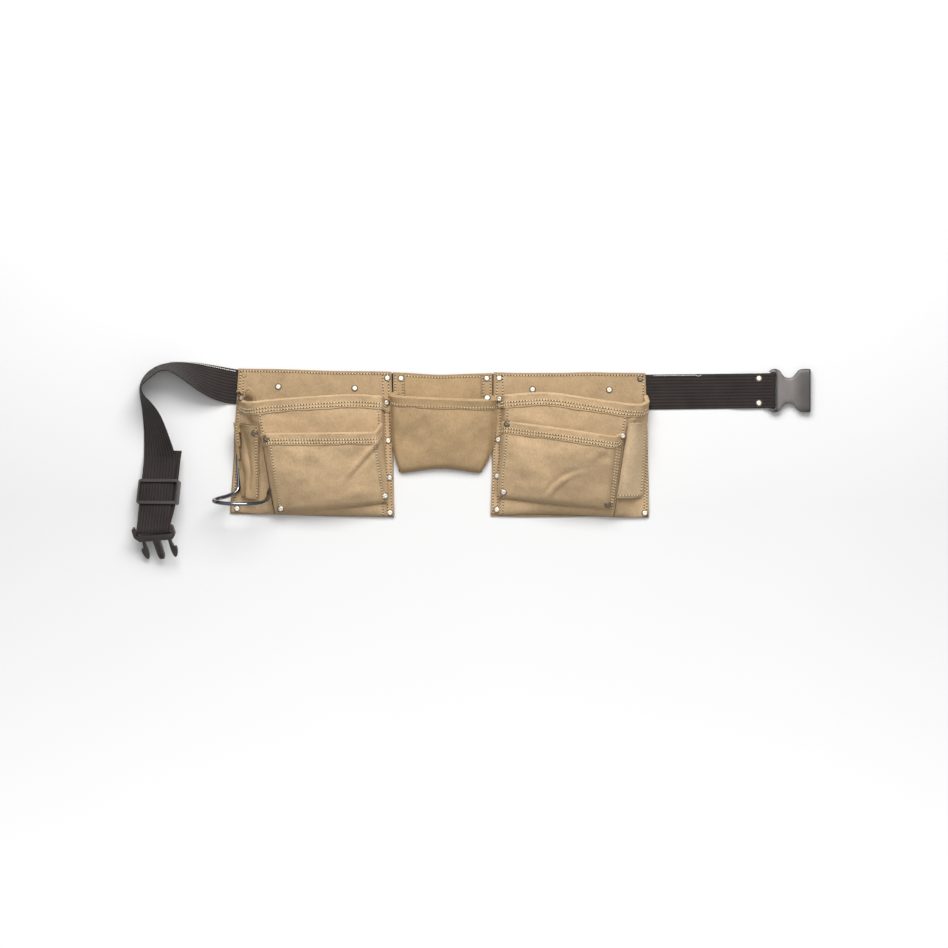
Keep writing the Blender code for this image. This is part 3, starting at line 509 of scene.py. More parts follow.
class Pouch:
    """A pocket wall that rises from a floor surface.

    Each column is ((rim x, rim y), (foot x, foot y), lift at the rim, fullness). The wall at
    share t of the way from foot to rim stands lift * t ** fullness above the floor. Between the
    front's first and last column the wall runs in one smooth curve. A spread over 1 makes the
    wall reach its full width low down.
    """

    def __init__(self, columns, floor, crown, front, relief=None, spread=1.0):
        rims, feet, self.lifts, self.fullness = zip(*columns)
        self.rims, self.feet = np.array(rims), np.array(feet)
        self.floor, self.crown, self.front = floor, crown, front
        self.relief, self.spread = relief, spread
        self.last = len(columns) - 1

    def column(self, k, t):
        widened = 1.0 - (1.0 - np.minimum(t, 1.0)) ** self.spread
        x = mix(self.feet[k][0], self.rims[k][0], widened)
        y = mix(self.feet[k][1], self.rims[k][1], t)
        return np.column_stack([x, y, self.lifts[k] * t ** self.fullness[k]])

    def neighbour(self, k, t, low, high):
        if k < low:
            return 2 * self.column(low, t) - self.column(low + 1, t)
        if k > high:
            return 2 * self.column(high, t) - self.column(high - 1, t)
        return self.column(k, t)

    def place(self, s, t):
        s, t = (v.ravel().astype(float) for v in np.broadcast_arrays(s, t))
        t = np.maximum(t, 1e-6)
        segment = np.clip(s.astype(int), 0, self.last - 1)
        found = np.zeros((len(s), 3))
        first, last = self.front
        for k in range(self.last):
            here = segment == k
            if not here.any():
                continue
            low, high = (first, last) if first <= k < last else (k, k + 1)
            near = [self.neighbour(k + step, t[here], low, high) for step in (-1, 0, 1, 2)]
            found[here] = catmull_rom(*near, (s[here] - k)[:, None])
        in_front = (s > first) & (s < last)
        swell = np.sin(math.pi * np.clip((s - first) / (last - first), 0.0, 1.0))
        rise = np.sin(math.pi * np.minimum(1.0, 0.15 + 0.6 * t)) * smoothstep(0.0, 0.06, t)
        found[:, 2] += np.where(in_front, self.crown * swell * rise, 0.0)
        if self.relief is not None:
            ends = smoothstep(0.0, 1.0, s) * smoothstep(self.last, self.last - 1.0, s)
            free = smoothstep(0.0, 0.22, t) * ends
            found[:, 2] += self.relief(found[:, 0], found[:, 1]) * free
        found[:, 2] += self.floor(found[:, 0], found[:, 1])
        return found

    def wall(self, first, last, high, step=GRID_STEP, inset=(0.0, 0.0)):
        """A grid over the columns first to last, from the foot to a height, in steps of about a size.

        inset is how far the wall stops short of its first and last column.
        """
        edge = self.place(np.linspace(first, last, 80), np.full(80, high))
        side = self.place(np.full(40, (first + last) / 2), np.linspace(0.0, high, 40))
        start = first + self.share_of(first, inset[0])
        end = last - self.share_of(last - 1, inset[1])
        # Even steps along the wall, and every column kept, so that the folds at the seams stay crisp.
        s = np.linspace(start, end, 400)
        reach = walked(self.place(s, np.full(400, high / 2)))
        s_values = np.interp(np.linspace(0.0, reach[-1], max(6, int(walked(edge)[-1] / step))), reach, s)
        for whole in range(math.ceil(start + 1e-6), math.floor(end - 1e-6) + 1):
            s_values[np.argmin(abs(s_values - whole))] = whole
        t_values = np.linspace(0.0, high, max(6, int(walked(side)[-1] / step)))
        points = self.place(*np.meshgrid(s_values, t_values))
        return Grid(points.reshape(len(t_values), len(s_values), 3))

    def share_of(self, column, gap):
        """A distance along the wall from a column, as a share of the way to the next one."""
        ends = self.place(np.array([column, column + 1.0]), np.array([0.5, 0.5]))
        return gap / float(np.linalg.norm(ends[1] - ends[0]))

    def rim_height(self):
        return float(np.linalg.norm(self.rims[1] - self.feet[1]))


# A hem's section is in pairs: distance below the rim, and height over the wall's centre. The
# leather turns over the rim in a roll and runs down the front, where it is sewn through.
HEM_ROLL_LEVEL = 0.3
HEM_ROLL_TALL = 1.1
HEM_SKIRT = 2.5
HEM_STATION = 1.6


def hem_section(depth, roll_radius):
    """The section of a hem: a roll at the rim, then a flat skirt down to its cut edge."""
    shoulder = 2.3 * roll_radius
    section = [(depth - 0.2, HEM_SKIRT * 0.3), (depth + 0.3, HEM_SKIRT * 0.65), (depth - 0.1, HEM_SKIRT)]
    for share in (0.25, 0.5, 0.75, 1.0):
        section.append((mix(depth, shoulder, share), HEM_SKIRT - 0.25 * math.sin(math.pi * share)))
    for turn in np.radians(np.arange(70, -91, -16)):
        tall = HEM_ROLL_TALL * roll_radius * math.sin(turn)
        section.append((roll_radius * (1.0 - math.cos(turn)), HEM_ROLL_LEVEL + tall))
    section += [(shoulder, -2.0), (depth * 0.7, -1.7), (depth - 2.0, -1.5), (depth - 0.6, -0.6)]
    return np.array(section)


def hem_piece(name, pouch, first, depth, finish, roll_radius, corner_passes, seed):
    """The rolled hem round a pocket's rim, and its (line, down, lift) for stitching."""
    s_values = np.linspace(first, pouch.last, 500)
    rim = pouch.place(s_values, np.ones(500))
    low = pouch.place(s_values, np.full(500, 1.0 - depth / pouch.rim_height()))
    line, lower = (evened(part, corner_passes) for part in resampled(rim, HEM_STATION, low))
    down = unit(lower - line)
    ahead = unit(np.gradient(line, axis=0))
    lift = unit(np.cross(down, ahead))
    lift[lift[:, 2] < 0] *= -1.0
    lift = unit(evened(lift, 6))
    down = unit(evened(down, 6))
    section = hem_section(depth, roll_radius)
    at = np.arange(len(line)) * HEM_STATION
    phase = np.random.default_rng(seed).uniform(0.0, 6.28, 4)
    swell = 1.0 + 0.07 * np.sin(at / 9.0 + phase[0]) + 0.05 * np.sin(at / 4.1 + phase[1])
    hang = 0.45 * np.sin(at / 13.0 + phase[2]) + 0.25 * np.sin(at / 5.5 + phase[3])
    sections = np.repeat(section[None], len(line), axis=0)
    sections[:, :, 1] *= np.where(section[None, :, 1] > 0, swell[:, None], 1.0)
    sections[:, :, 0] += hang[:, None] * smoothstep(roll_radius * 2.0, depth, section[:, 0])[None]
    # The skirt's cut edge is darkened: a raw edge, and a painted shadow line under the hem.
    edge = np.where(section[:, 0] > depth - 0.7, 0.8, 0.0)
    return face_out(swept(name, line, down, lift, sections, finish, edge)), (line, down, lift)


def hem_rows(rows, hem, depths, short):
    """Rows of stitches along a hem, at distances below its rim, a share short of its ends."""
    last = len(hem[0]) - 1
    line, down, lift = (part[int(short * last) : int((1.0 - short) * last) + 1] for part in hem)
    for below in depths:
        rows.add(line + down * below + lift * (HEM_SKIRT - 0.1), lift)


PANEL_WAVER = 0.5


def panel(corners, height, seed, step=GRID_STEP, arch=0.0, sag=0.0):
    """A four-sided panel: corners are bottom left, bottom right, top right, top left.

    arch lifts the middle of the bottom edge, and sag lowers the middle of the top edge.
    """
    bottom_left, bottom_right, top_right, top_left = (np.array(c, float) for c in corners)
    columns = max(5, int(np.linalg.norm(bottom_right - bottom_left) / step))
    rows = max(5, int(np.linalg.norm(top_left - bottom_left) / step))
    a, b = np.meshgrid(np.linspace(0.0, 1.0, columns), np.linspace(0.0, 1.0, rows))
    a, b = a[..., None], b[..., None]
    flat = mix(mix(bottom_left, bottom_right, a), mix(top_left, top_right, a), b)
    x, y = flat[..., 0], flat[..., 1]
    y = y + mix(arch, -sag, b[..., 0]) * (1.0 - (2.0 * a[..., 0] - 1.0) ** 2)
    y = y + PANEL_WAVER * roll(x, 0.0 * x, 90.0, seed) * (2.0 * abs(b[..., 0] - 0.5)) ** 4
    x = x + PANEL_WAVER * roll(0.0 * y, y, 70.0, seed + 1) * (2.0 * abs(a[..., 0] - 0.5)) ** 4
    return Grid(np.stack([x, y, height(x, y)], axis=-1))


# ---------------------------------------------------------------- materials


WHITE = (1.0, 1.0, 1.0)


def grey(level):
    return (level, level, level)


def shaded(colour, level):
    return tuple(min(1.0, c * level) for c in colour)


class Shading:
    """The nodes of a material or a world, with short ways to make the kinds used here."""

    def __init__(self, owner):
        owner.use_nodes = True
        self.owner = owner
        self.nodes = owner.node_tree.nodes
        self.links = owner.node_tree.links

    def put(self, node, inputs):
        """Fills a node's inputs, by name or number, from sockets, plain values or colours."""
        for key, value in inputs.items():
            socket = node.inputs[key]
            if isinstance(value, bpy.types.NodeSocket):
                self.links.new(value, socket)
            else:
                socket.default_value = (*value, 1.0) if socket.type == "RGBA" else value

    def add(self, kind, inputs, output=0, **settings):
        """An output of a new node."""
        node = self.nodes.new(f"ShaderNode{kind}")
        for key, value in settings.items():
            setattr(node, key, value)
        self.put(node, inputs)
        return node.outputs[output]

    def surface(self, inputs):
        """Fills the Principled shader's inputs, and gives the finished material."""
        self.put(self.nodes["Principled BSDF"], inputs)
        return self.owner

    def read(self, key, output="Vector"):
        return self.add("Attribute", {}, output, attribute_name=key)

    def noise(self, where, scale, detail=3.0, roughness=0.55, distortion=0.0):
        inputs = {"Vector": where, "Scale": scale, "Detail": detail}
        inputs |= {"Roughness": roughness, "Distortion": distortion}
        return self.add("TexNoise", inputs, "Fac")

    def bands(self, where, direction, scale, distortion, detail=2.0, detail_scale=1.0):
        inputs = {"Vector": where, "Scale": scale, "Distortion": distortion}
        inputs |= {"Detail": detail, "Detail Scale": detail_scale}
        settings = {"wave_type": "BANDS", "bands_direction": direction, "wave_profile": "SIN"}
        return self.add("TexWave", inputs, "Fac", **settings)

    def ramp(self, value, *stops):
        """A colour ramp over a value. stops are (position, colour)."""
        node = self.nodes.new("ShaderNodeValToRGB")
        elements = node.color_ramp.elements
        while len(elements) < len(stops):
            elements.new(0.5)
        for element, (position, colour) in zip(elements, stops):
            element.position = position
            element.color = (*colour, 1.0)
        self.put(node, {"Fac": value})
        return node.outputs["Color"]

    def blended(self, kind, share, first, second):
        """Two colours mixed."""
        return self.add("Mix", {0: share, 6: first, 7: second}, 2, data_type="RGBA", blend_type=kind)

    def maths(self, operation, first, second):
        return self.add("Math", {0: first, 1: second}, operation=operation)

    def bump(self, height, distance, strength=1.0, **under):
        inputs = {"Height": height, "Distance": distance, "Strength": strength, **under}
        return self.add("Bump", inputs, "Normal")

    def stretched(self, where, scale, turn=0.0):
        return self.add("Mapping", {"Vector": where, "Scale": scale, "Rotation": (0.0, 0.0, turn)})


def new_material(name):
    return Shading(bpy.data.materials.new(name))


def suede_material(name, colour, seed):
    """Split suede: a soft nap in brushed patches, darker pores, and edges darkened partly by wear and partly
    as painted shade.
    """
    s = new_material(name)
    shift = (seed * 1.7, seed * 0.9, seed * 0.4)
    where = s.add("VectorMath", {0: s.read("place"), 1: shift}, operation="ADD")

    patches = s.noise(where, 19.0, 4.0, 0.6, 0.6)
    base = s.ramp(patches, (0.30, shaded(colour, 0.86)), (0.5, colour), (0.70, shaded(colour, 1.10)))
    clouds = s.noise(where, 75.0, 5.0, 0.65, 0.3)
    cloud_tint = s.ramp(clouds, (0.32, (0.90, 0.89, 0.87)), (0.55, WHITE), (0.75, (1.07, 1.06, 1.04)))
    nap = s.noise(s.stretched(where, (1.0, 0.38, 1.0), 0.35), 900.0, 3.0, 0.7, 0.8)
    nap_tint = s.ramp(nap, (0.30, (0.70, 0.68, 0.64)), (0.52, WHITE), (0.72, (1.18, 1.17, 1.14)))
    pores = s.noise(where, 2300.0, 2.0, 0.5)
    pore_tint = s.ramp(pores, (0.30, (0.72, 0.70, 0.66)), (0.42, WHITE))
    for share, tint in ((0.8, cloud_tint), (0.75, nap_tint), (0.5, pore_tint)):
        base = s.blended("MULTIPLY", share, base, tint)
    # The edge mark darkens the colour: partly edge wear, partly painted shade.
    mottle = s.maths("ADD", s.noise(where, 260.0, 3.0, 0.6), 0.1)
    wear_and_shade = s.maths("MULTIPLY", s.read("edge", "Fac"), mottle)
    base = s.blended("MIX", wear_and_shade, base, shaded(colour, 0.62))
    inside = s.maths("MULTIPLY", s.read("inside", "Fac"), 0.55)
    base = s.blended("MIX", inside, base, shaded(colour, 0.72))

    soft = s.bump(clouds, 0.0009, 0.45)
    fibres = s.bump(nap, 0.0007, 0.75, Normal=soft)
    inputs = {"Base Color": base, "Roughness": 0.96, "Specular IOR Level": 0.18}
    inputs |= {"Sheen Weight": 0.22, "Sheen Roughness": 0.55, "Sheen Tint": shaded(colour, 1.5)}
    return s.surface(inputs | {"Normal": s.bump(pores, 0.0003, 0.5, Normal=fibres)})


def mottled_material(name, scale, detail, dark, pale, roughness):
    """A plain surface that varies between two (position, colour) stops."""
    s = new_material(name)
    colour = s.ramp(s.noise(s.read("place"), scale, detail), dark, pale)
    return s.surface({"Base Color": colour, "Roughness": roughness})


def thread_material():
    """Waxed polyester thread, twisted, in cream."""
    s = new_material("cream_thread")
    place = s.read("place")
    dirt = s.noise(place, 40.0, 4.0, 0.6)
    colour = s.ramp(dirt, (0.3, (0.72, 0.55, 0.32)), (0.5, (0.92, 0.76, 0.50)), (0.7, (0.97, 0.87, 0.66)))
    twist = s.noise(s.stretched(place, (1.0, 2.4, 1.0), 0.8), 1600.0, 2.0)
    strands = s.ramp(twist, (0.35, (0.72, 0.70, 0.66)), (0.6, WHITE))
    colour = s.blended("MULTIPLY", 0.6, colour, strands)
    return s.surface({"Base Color": colour, "Roughness": 0.6, "Normal": s.bump(twist, 0.0003, 0.6)})


def web_material():
    """Heavy ribbed webbing: warp ribs in relief, painted shade in their valleys and painted light on their
    crests, fine weft across them, and lint.
    """
    s = new_material("brown_black_web")
    cloth = s.read("cloth")
    dirt = s.noise(cloth, 28.0, 4.0, 0.6)
    # Valleys between the ribs darker, crests lighter: painted shade and painted light.
    valley = s.ramp(dirt, (0.3, (0.017, 0.013, 0.0120)), (0.7, (0.026, 0.021, 0.0195)))
    crest = s.ramp(dirt, (0.3, (0.043, 0.034, 0.031)), (0.7, (0.062, 0.051, 0.047)))
    base = s.blended("MIX", s.read("rib", "Fac"), valley, crest)
    weft = s.bands(cloth, "X", 310.0, 0.7, detail_scale=2.5)
    warp = s.bands(cloth, "Y", 420.0, 0.4)
    weave = s.maths("MULTIPLY", weft, warp)
    yarn = s.ramp(weave, (0.0, (0.62, 0.60, 0.60)), (0.5, WHITE), (1.0, (1.35, 1.33, 1.32)))
    base = s.blended("MULTIPLY", 0.85, base, yarn)
    lint = s.noise(s.stretched(cloth, (0.25, 1.0, 1.0)), 2600.0, 3.0, 0.7)
    lint_tint = s.ramp(lint, (0.64, WHITE), (0.80, (1.4, 1.38, 1.36)))
    inputs = {"Base Color": s.blended("MULTIPLY", 0.6, base, lint_tint), "Roughness": 0.82}
    inputs |= {"Specular IOR Level": 0.28, "Sheen Weight": 0.10, "Sheen Roughness": 0.35}
    return s.surface(inputs | {"Normal": s.bump(weave, 0.0005, 0.8)})


def plastic_material(name, dark, pale, painted_shading=()):
    """Moulded acetal: satin, faintly textured, scuffed. The last argument gives (X in metres, level) pairs of
    painted shade and painted reflection along X.
    """
    s = new_material(name)
    place = s.read("place")
    cloud = s.noise(place, 45.0, 4.0, 0.6)
    colour = s.ramp(cloud, (0.3, dark), (0.7, pale))
    # Painted shade and reflection, as levels along X.
    if painted_shading:
        along = s.add("SeparateXYZ", {0: place}, "X")
        tint = s.ramp(along, *((position, grey(level)) for position, level in painted_shading))
        colour = s.blended("MULTIPLY", 1.0, colour, tint)
    scuffs = s.noise(s.stretched(place, (0.4, 2.5, 1.0), 0.5), 500.0, 3.0, 0.7)
    marks = s.ramp(scuffs, (0.60, WHITE), (0.72, (1.5, 1.48, 1.45)))
    rough = s.ramp(cloud, (0.3, grey(0.34)), (0.7, grey(0.44)))
    inputs = {"Base Color": s.blended("MULTIPLY", 0.4, colour, marks), "Roughness": rough}
    inputs |= {"Specular IOR Level": 0.6}
    return s.surface(inputs | {"Normal": s.bump(s.noise(place, 2600.0, 2.0), 0.00012, 0.35)})


def metal_material(name, colour, roughness, scratch):
    """Bright plated metal with fine scratches and a little tarnish."""
    s = new_material(name)
    place = s.read("place")
    tint = s.ramp(s.noise(place, 120.0, 4.0, 0.6), (0.3, shaded(colour, 0.8)), (0.6, colour))
    marks = s.noise(s.stretched(place, (1.0, 6.0, 1.0), 0.7), 700.0, 3.0, 0.7)
    rough = s.ramp(marks, (0.4, grey(roughness)), (0.7, grey(roughness + scratch)))
    inputs = {"Base Color": tint, "Metallic": 1.0, "Roughness": rough}
    return s.surface(inputs | {"Normal": s.bump(marks, 0.00008, 0.3)})


# The lights stand behind the belt, so the floor glows a little in front of it to stay white. The
# glow grows from nothing at the first Y, in metres, to its full strength at the second.
FLOOR_GLOW_Y = (-0.06, -0.62)
FLOOR_GLOW = 0.34


def floor_material():
    s = new_material("studio_floor")
    where = s.add("TexCoord", {}, "Object")
    colour = s.ramp(s.noise(where, 3.0, 2.0), (0.3, grey(0.80)), (0.7, grey(0.81)))
    inputs = {"Value": s.add("SeparateXYZ", {0: where}, "Y")}
    inputs |= {"From Min": FLOOR_GLOW_Y[1], "From Max": FLOOR_GLOW_Y[0], "To Min": FLOOR_GLOW, "To Max": 0.0}
    glow = s.add("MapRange", inputs, "Result")
    inputs = {"Base Color": colour, "Roughness": 0.9, "Specular IOR Level": 0.1}
    return s.surface(inputs | {"Emission Color": WHITE, "Emission Strength": glow})


# ---------------------------------------------------------------- the two bags

LEFT_MAIN_COLUMNS = [
    ((-328.5, 93.0), (-338.0, -70.0), 0.0, 1.0),
    ((-325.0, 88.5), (-328.0, -70.5), 5.0, 1.8),
    ((-316.5, 84.0), (-304.0, -72.5), 25.0, 0.9),
    ((-303.0, 84.5), (-276.5, -73.5), 40.0, 0.5),
    ((-270.0, 88.0), (-240.0, -74.0), 36.0, 0.5),
    ((-176.0, 94.0), (-170.0, -75.5), 27.0, 0.5),
    ((-129.0, 92.5), (-121.0, -76.0), 21.0, 0.6),
    ((-125.0, 88.0), (-120.0, -76.0), 0.0, 1.0),
    ((-115.0, 88.0), (-110.0, -76.0), 0.0, 1.0),
]
RIGHT_MAIN_COLUMNS = [
    ((31.5, 93.0), (26.0, -72.0), 0.0, 1.0),
    ((42.0, 93.0), (36.5, -73.0), 0.0, 1.0),
    ((47.0, 94.0), (38.5, -74.0), 21.0, 0.6),
    ((104.0, 97.0), (104.0, -72.8), 28.0, 0.5),
    ((169.0, 88.0), (160.0, -74.5), 36.0, 0.5),
    ((219.0, 81.0), (197.5, -77.0), 41.0, 0.5),
    ((236.0, 80.5), (220.0, -77.5), 29.0, 0.8),
    ((245.5, 86.5), (239.0, -77.0), 12.0, 1.3),
    ((243.5, 93.5), (247.0, -74.0), 0.0, 1.0),
]
LEFT_OUTER_COLUMNS = [
    ((-294.0, 38.5), (-276.5, -70.0), 0.0, 1.0),
    ((-287.0, 40.0), (-271.0, -70.2), 10.0, 0.5),
    ((-215.0, 40.5), (-200.0, -66.0), 17.0, 0.5),
    ((-137.0, 41.5), (-122.5, -57.0), 20.0, 0.6),
    ((-128.5, 54.0), (-118.5, -56.0), 0.0, 1.0),
]
RIGHT_OUTER_COLUMNS = [
    ((42.5, 55.5), (35.5, -47.5), 0.0, 1.0),
    ((46.5, 57.0), (37.5, -49.5), 10.0, 0.5),
    ((125.0, 46.5), (104.0, -58.0), 17.0, 0.5),
    ((198.0, 35.5), (190.0, -66.5), 19.0, 0.6),
    ((211.0, 42.0), (197.0, -60.0), 0.0, 1.0),
]
MAIN_HEM = 19.0
OUTER_HEM = 17.5
CENTRE_HEM = 15.5
# How far a wall's top edge stays below the rim, inside the hem.
TUCKED = 6.0
SEAM_GROOVE = 1.7

# Each crease is (path, height, width); a negative height makes it a valley.
LEFT_MAIN_CREASES = [
    ([(-322.0, 72.0), (-317.0, 64.0), (-309.0, 52.0), (-300.0, 40.0)], -5.0, 5.0),
    ([(-296.0, 60.0), (-250.0, 52.0), (-200.0, 56.0)], 1.1, 8.0),
]
LEFT_CREASES = [
    ([(-126.0, 34.0), (-147.7, 10.9), (-171.0, -16.0), (-192.5, -44.1)], 3.8, 3.2),
    ([(-240.0, -20.0), (-262.0, -48.0)], 1.6, 7.0),
    ([(-150.0, -40.0), (-190.0, -56.0), (-240.0, -60.0)], 1.5, 7.0),
    ([(-262.0, 14.0), (-215.0, 4.0), (-176.0, 10.0)], 1.0, 9.0),
]
RIGHT_MAIN_CREASES = [
    ([(60.0, 62.0), (110.0, 50.0), (170.0, 52.0)], 1.1, 8.0),
    ([(226.0, 70.0), (217.0, 62.0), (212.0, 48.0)], -3.0, 5.0),
]
RIGHT_CREASES = [
    ([(104.0, -51.0), (113.0, -38.0), (124.0, -27.5), (140.0, -19.0), (172.0, -10.5)], 3.4, 3.4),
    ([(186.0, 18.0), (150.0, -6.0)], 1.8, 6.0),
    ([(60.0, 24.0), (100.0, 10.0), (150.0, 8.0)], 1.2, 9.0),
    ([(60.0, -30.0), (84.0, -44.0)], 1.6, 7.0),
]


def relief_of(size, height, seed, creases=()):
    """A sheet's own unevenness: soft rolls of about a size, smaller ones on them, and creases."""

    def relief(x, y):
        total = height * roll(x, y, size, seed) + 0.35 * height * roll(x, y, size / 3.2, seed + 40)
        for path, tall, wide in creases:
            total = total + crease(x, y, path, tall, wide)
        return total

    return relief


class Bag:
    """One tool bag: its back panel, main pocket and outer pocket, with their rows of stitches."""

    def __init__(self, side, corners, main_columns, outer_columns, main_front, creases, suedes, seed):
        self.side = side
        self.body = f"{side}_bag"
        back_painted_shade_finish, self.finish = suedes
        self.rows = Rows()
        self.pieces = []
        self.back = panel(corners, back_z, seed=seed)
        # The back panel gets the darker copy of the suede, whose colour holds painted shade.
        self.add(leather_sheet(f"{side}_bag_back", self.back, back_painted_shade_finish), f"{side}_back_panel")
        main_creases, self.creases = creases
        self.main = Pouch(main_columns, seat, 5.0, main_front, relief_of(120.0, 1.3, seed + 10, main_creases))
        self.outer_columns = outer_columns
        self.seed = seed

    def add(self, piece, *nodes):
        fasten(piece, self.body, "suede", *nodes)
        self.pieces.append(piece)

    def wall(self, pouch, name, node_name, first, last, depth, inset=(0.0, 0.0)):
        top = 1.0 - (depth - TUCKED) / pouch.rim_height()
        grid = pouch.wall(first, last, top, inset=inset)
        self.add(leather_sheet(name, grid, self.finish), node_name)
        return grid


def make_main_pocket(bag, seams, hem_start=0.0):
    """The main pocket's walls and hem. seams lists (part, first column, last column).

    A gusset stops short of its seam, which leaves a groove beside the front's edge.
    """
    side, main = bag.side, bag.main
    grids = {}
    for part, first, last in seams:
        gap = 0.2 if part == "front" else SEAM_GROOVE
        inset = (0.0 if first == 0 else gap, 0.0 if last == main.last else gap)
        node_name = f"{side}_main_{part}"
        grids[part] = bag.wall(main, f"{side}_pocket_{part}", node_name, first, last, MAIN_HEM, inset)
    name = f"{side}_pocket_hem"
    piece, hem = hem_piece(
        name, main, hem_start, MAIN_HEM, bag.finish, roll_radius=3.3, corner_passes=4, seed=bag.seed
    )
    bag.add(piece, f"{side}_main_hem")
    hem_rows(bag.rows, hem, (11.2, 15.7), 0.02)
    bag.main_field = HeightField(main.wall(*main.front, 1.0, step=4.0))
    return grids


def make_outer_pocket(bag):
    side = bag.side
    field = bag.main_field
    gap = LEATHER + 0.9

    def floor(x, y):
        return field(x, y) + gap

    relief = relief_of(75.0, 1.1, bag.seed + 20, bag.creases)
    outer = Pouch(bag.outer_columns, floor, 6.0, (1, 3), relief)
    grids = {}
    for part, first, last in (("gusset_left", 0, 1), ("front", 1, 3), ("gusset_right", 3, 4)):
        node_name = f"{side}_outer_{part}"
        grids[part] = bag.wall(outer, f"{side}_outer_pocket_{part}", node_name, first, last, OUTER_HEM)
    name = f"{side}_outer_pocket_hem"
    piece, hem = hem_piece(
        name, outer, 0, OUTER_HEM, bag.finish, roll_radius=3.0, corner_passes=3, seed=bag.seed + 7
    )
    bag.add(piece, f"{side}_outer_hem")
    hem_rows(bag.rows, hem, (10.4, 14.6), 0.03)
    return grids


def curl(name, path, depth, finish):
    """A strip of leather on its edge. path is its upper edge, and depth how far it reaches down."""
    line = resampled(smooth_curve(path, 120), 1.4)
    ahead = unit(np.gradient(line, axis=0))
    side = unit(np.cross(ahead, UP))
    shares = np.linspace(0.0, 1.0, 7)[:, None, None]
    swell = 1.2 * np.sin(math.pi * shares)
    points = line[None] - UP * depth * shares + side[None] * swell
    grid = Grid(points, outward=side.mean(axis=0))
    return leather_sheet(name, grid, finish, LEATHER * 0.95)


# The pleat where the left main pocket's rim meets the back: (name, upper edge, depth).
LEFT_CURLS = [
    (
        "corner_pleat",
        [
            (-306.5, 80.5, 22.0),
            (-306.0, 90.0, 25.0),
            (-308.5, 98.0, 26.5),
            (-313.5, 101.5, 26.0),
            (-318.0, 98.0, 24.5),
            (-319.5, 92.0, 22.5),
            (-323.0, 87.0, 19.0),
            (-329.0, 86.5, 14.5),
        ],
        12.0,
    ),
    ("corner_lip", [(-330.5, 98.0, 10.0), (-326.0, 99.0, 13.0), (-321.8, 95.0, 15.0)], 8.0),
]


def left_bag(suedes):
    corners = ((-339.5, -72.0), (-110.5, -78.5), (-114.0, 124.5), (-328.0, 130.5))
    creases = (LEFT_MAIN_CREASES, LEFT_CREASES)
    bag = Bag("left", corners, LEFT_MAIN_COLUMNS, LEFT_OUTER_COLUMNS, (3, 6), creases, suedes, 11)
    seams = [("gusset_outer", 0, 3), ("front", 3, 6), ("gusset_inner", 6, 8)]
    main = make_main_pocket(bag, seams, hem_start=0.9)
    outer = make_outer_pocket(bag)
    for name, path, depth in LEFT_CURLS:
        bag.add(curl(f"left_{name}", path, depth, bag.finish))
    rows = bag.rows
    rows.along(bag.back, (0.012, 0.985), (0.985, 0.985))
    rows.along(bag.back, (0.012, 0.79), (0.014, 0.975))
    rows.along(bag.back, (0.034, 0.80), (0.036, 0.975))
    rows.along(bag.back, (0.945, 0.83), (0.943, 0.975))
    rows.along(bag.back, (0.982, 0.83), (0.98, 0.975))
    rows.along(main["front"], (0.02, 0.01), (0.02, 0.99))
    rows.along(main["front"], (0.975, 0.01), (0.975, 0.99))
    rows.along(main["gusset_inner"], (0.60, 0.02), (0.60, 0.98))
    rows.along(main["gusset_inner"], (0.88, 0.02), (0.88, 0.98))
    rows.along(main["gusset_outer"], (0.06, 0.02), (0.06, 0.96))
    rows.along(outer["front"], (0.02, 0.02), (0.02, 0.98))
    rows.along(outer["front"], (0.985, 0.02), (0.985, 0.98))
    return bag


def right_bag(suedes):
    corners = ((26.0, -76.5), (247.0, -77.5), (242.5, 124.0), (30.3, 124.0))
    creases = (RIGHT_MAIN_CREASES, RIGHT_CREASES)
    bag = Bag("right", corners, RIGHT_MAIN_COLUMNS, RIGHT_OUTER_COLUMNS, (2, 5), creases, suedes, 31)
    seams = [("gusset_inner", 0, 2), ("front", 2, 5), ("gusset_outer", 5, 8)]
    main = make_main_pocket(bag, seams)
    outer = make_outer_pocket(bag)
    rows = bag.rows
    rows.along(bag.back, (0.015, 0.985), (0.985, 0.985))
    rows.along(bag.back, (0.022, 0.83), (0.02, 0.975))
    rows.along(bag.back, (0.06, 0.83), (0.058, 0.975))
    rows.along(bag.back, (0.983, 0.85), (0.985, 0.975))
    rows.along(main["front"], (0.02, 0.01), (0.02, 0.99))
    rows.along(main["front"], (0.98, 0.01), (0.98, 0.99))
    rows.along(main["gusset_inner"], (0.10, 0.02), (0.10, 0.98))
    rows.along(main["gusset_inner"], (0.38, 0.02), (0.38, 0.98))
    rows.along(main["gusset_outer"], (0.955, 0.02), (0.955, 0.96))
    rows.along(main["gusset_outer"], (0.875, 0.02), (0.875, 0.9))
    rows.along(outer["front"], (0.025, 0.02), (0.025, 0.98))
    rows.along(outer["gusset_right"], (0.30, 0.04), (0.30, 0.98))
    rows.along(outer["gusset_right"], (0.70, 0.04), (0.70, 0.98))
    return bag


# ---------------------------------------------------------------- holder and square sleeve


def leaf_height(gusset_field, x, y):
    """The back leaf's centre: over the steel loop's leg, and off the gusset where that rises."""
    over_wire = 14.5
    return np.maximum(over_wire, gusset_field(x, y) + 6.0)


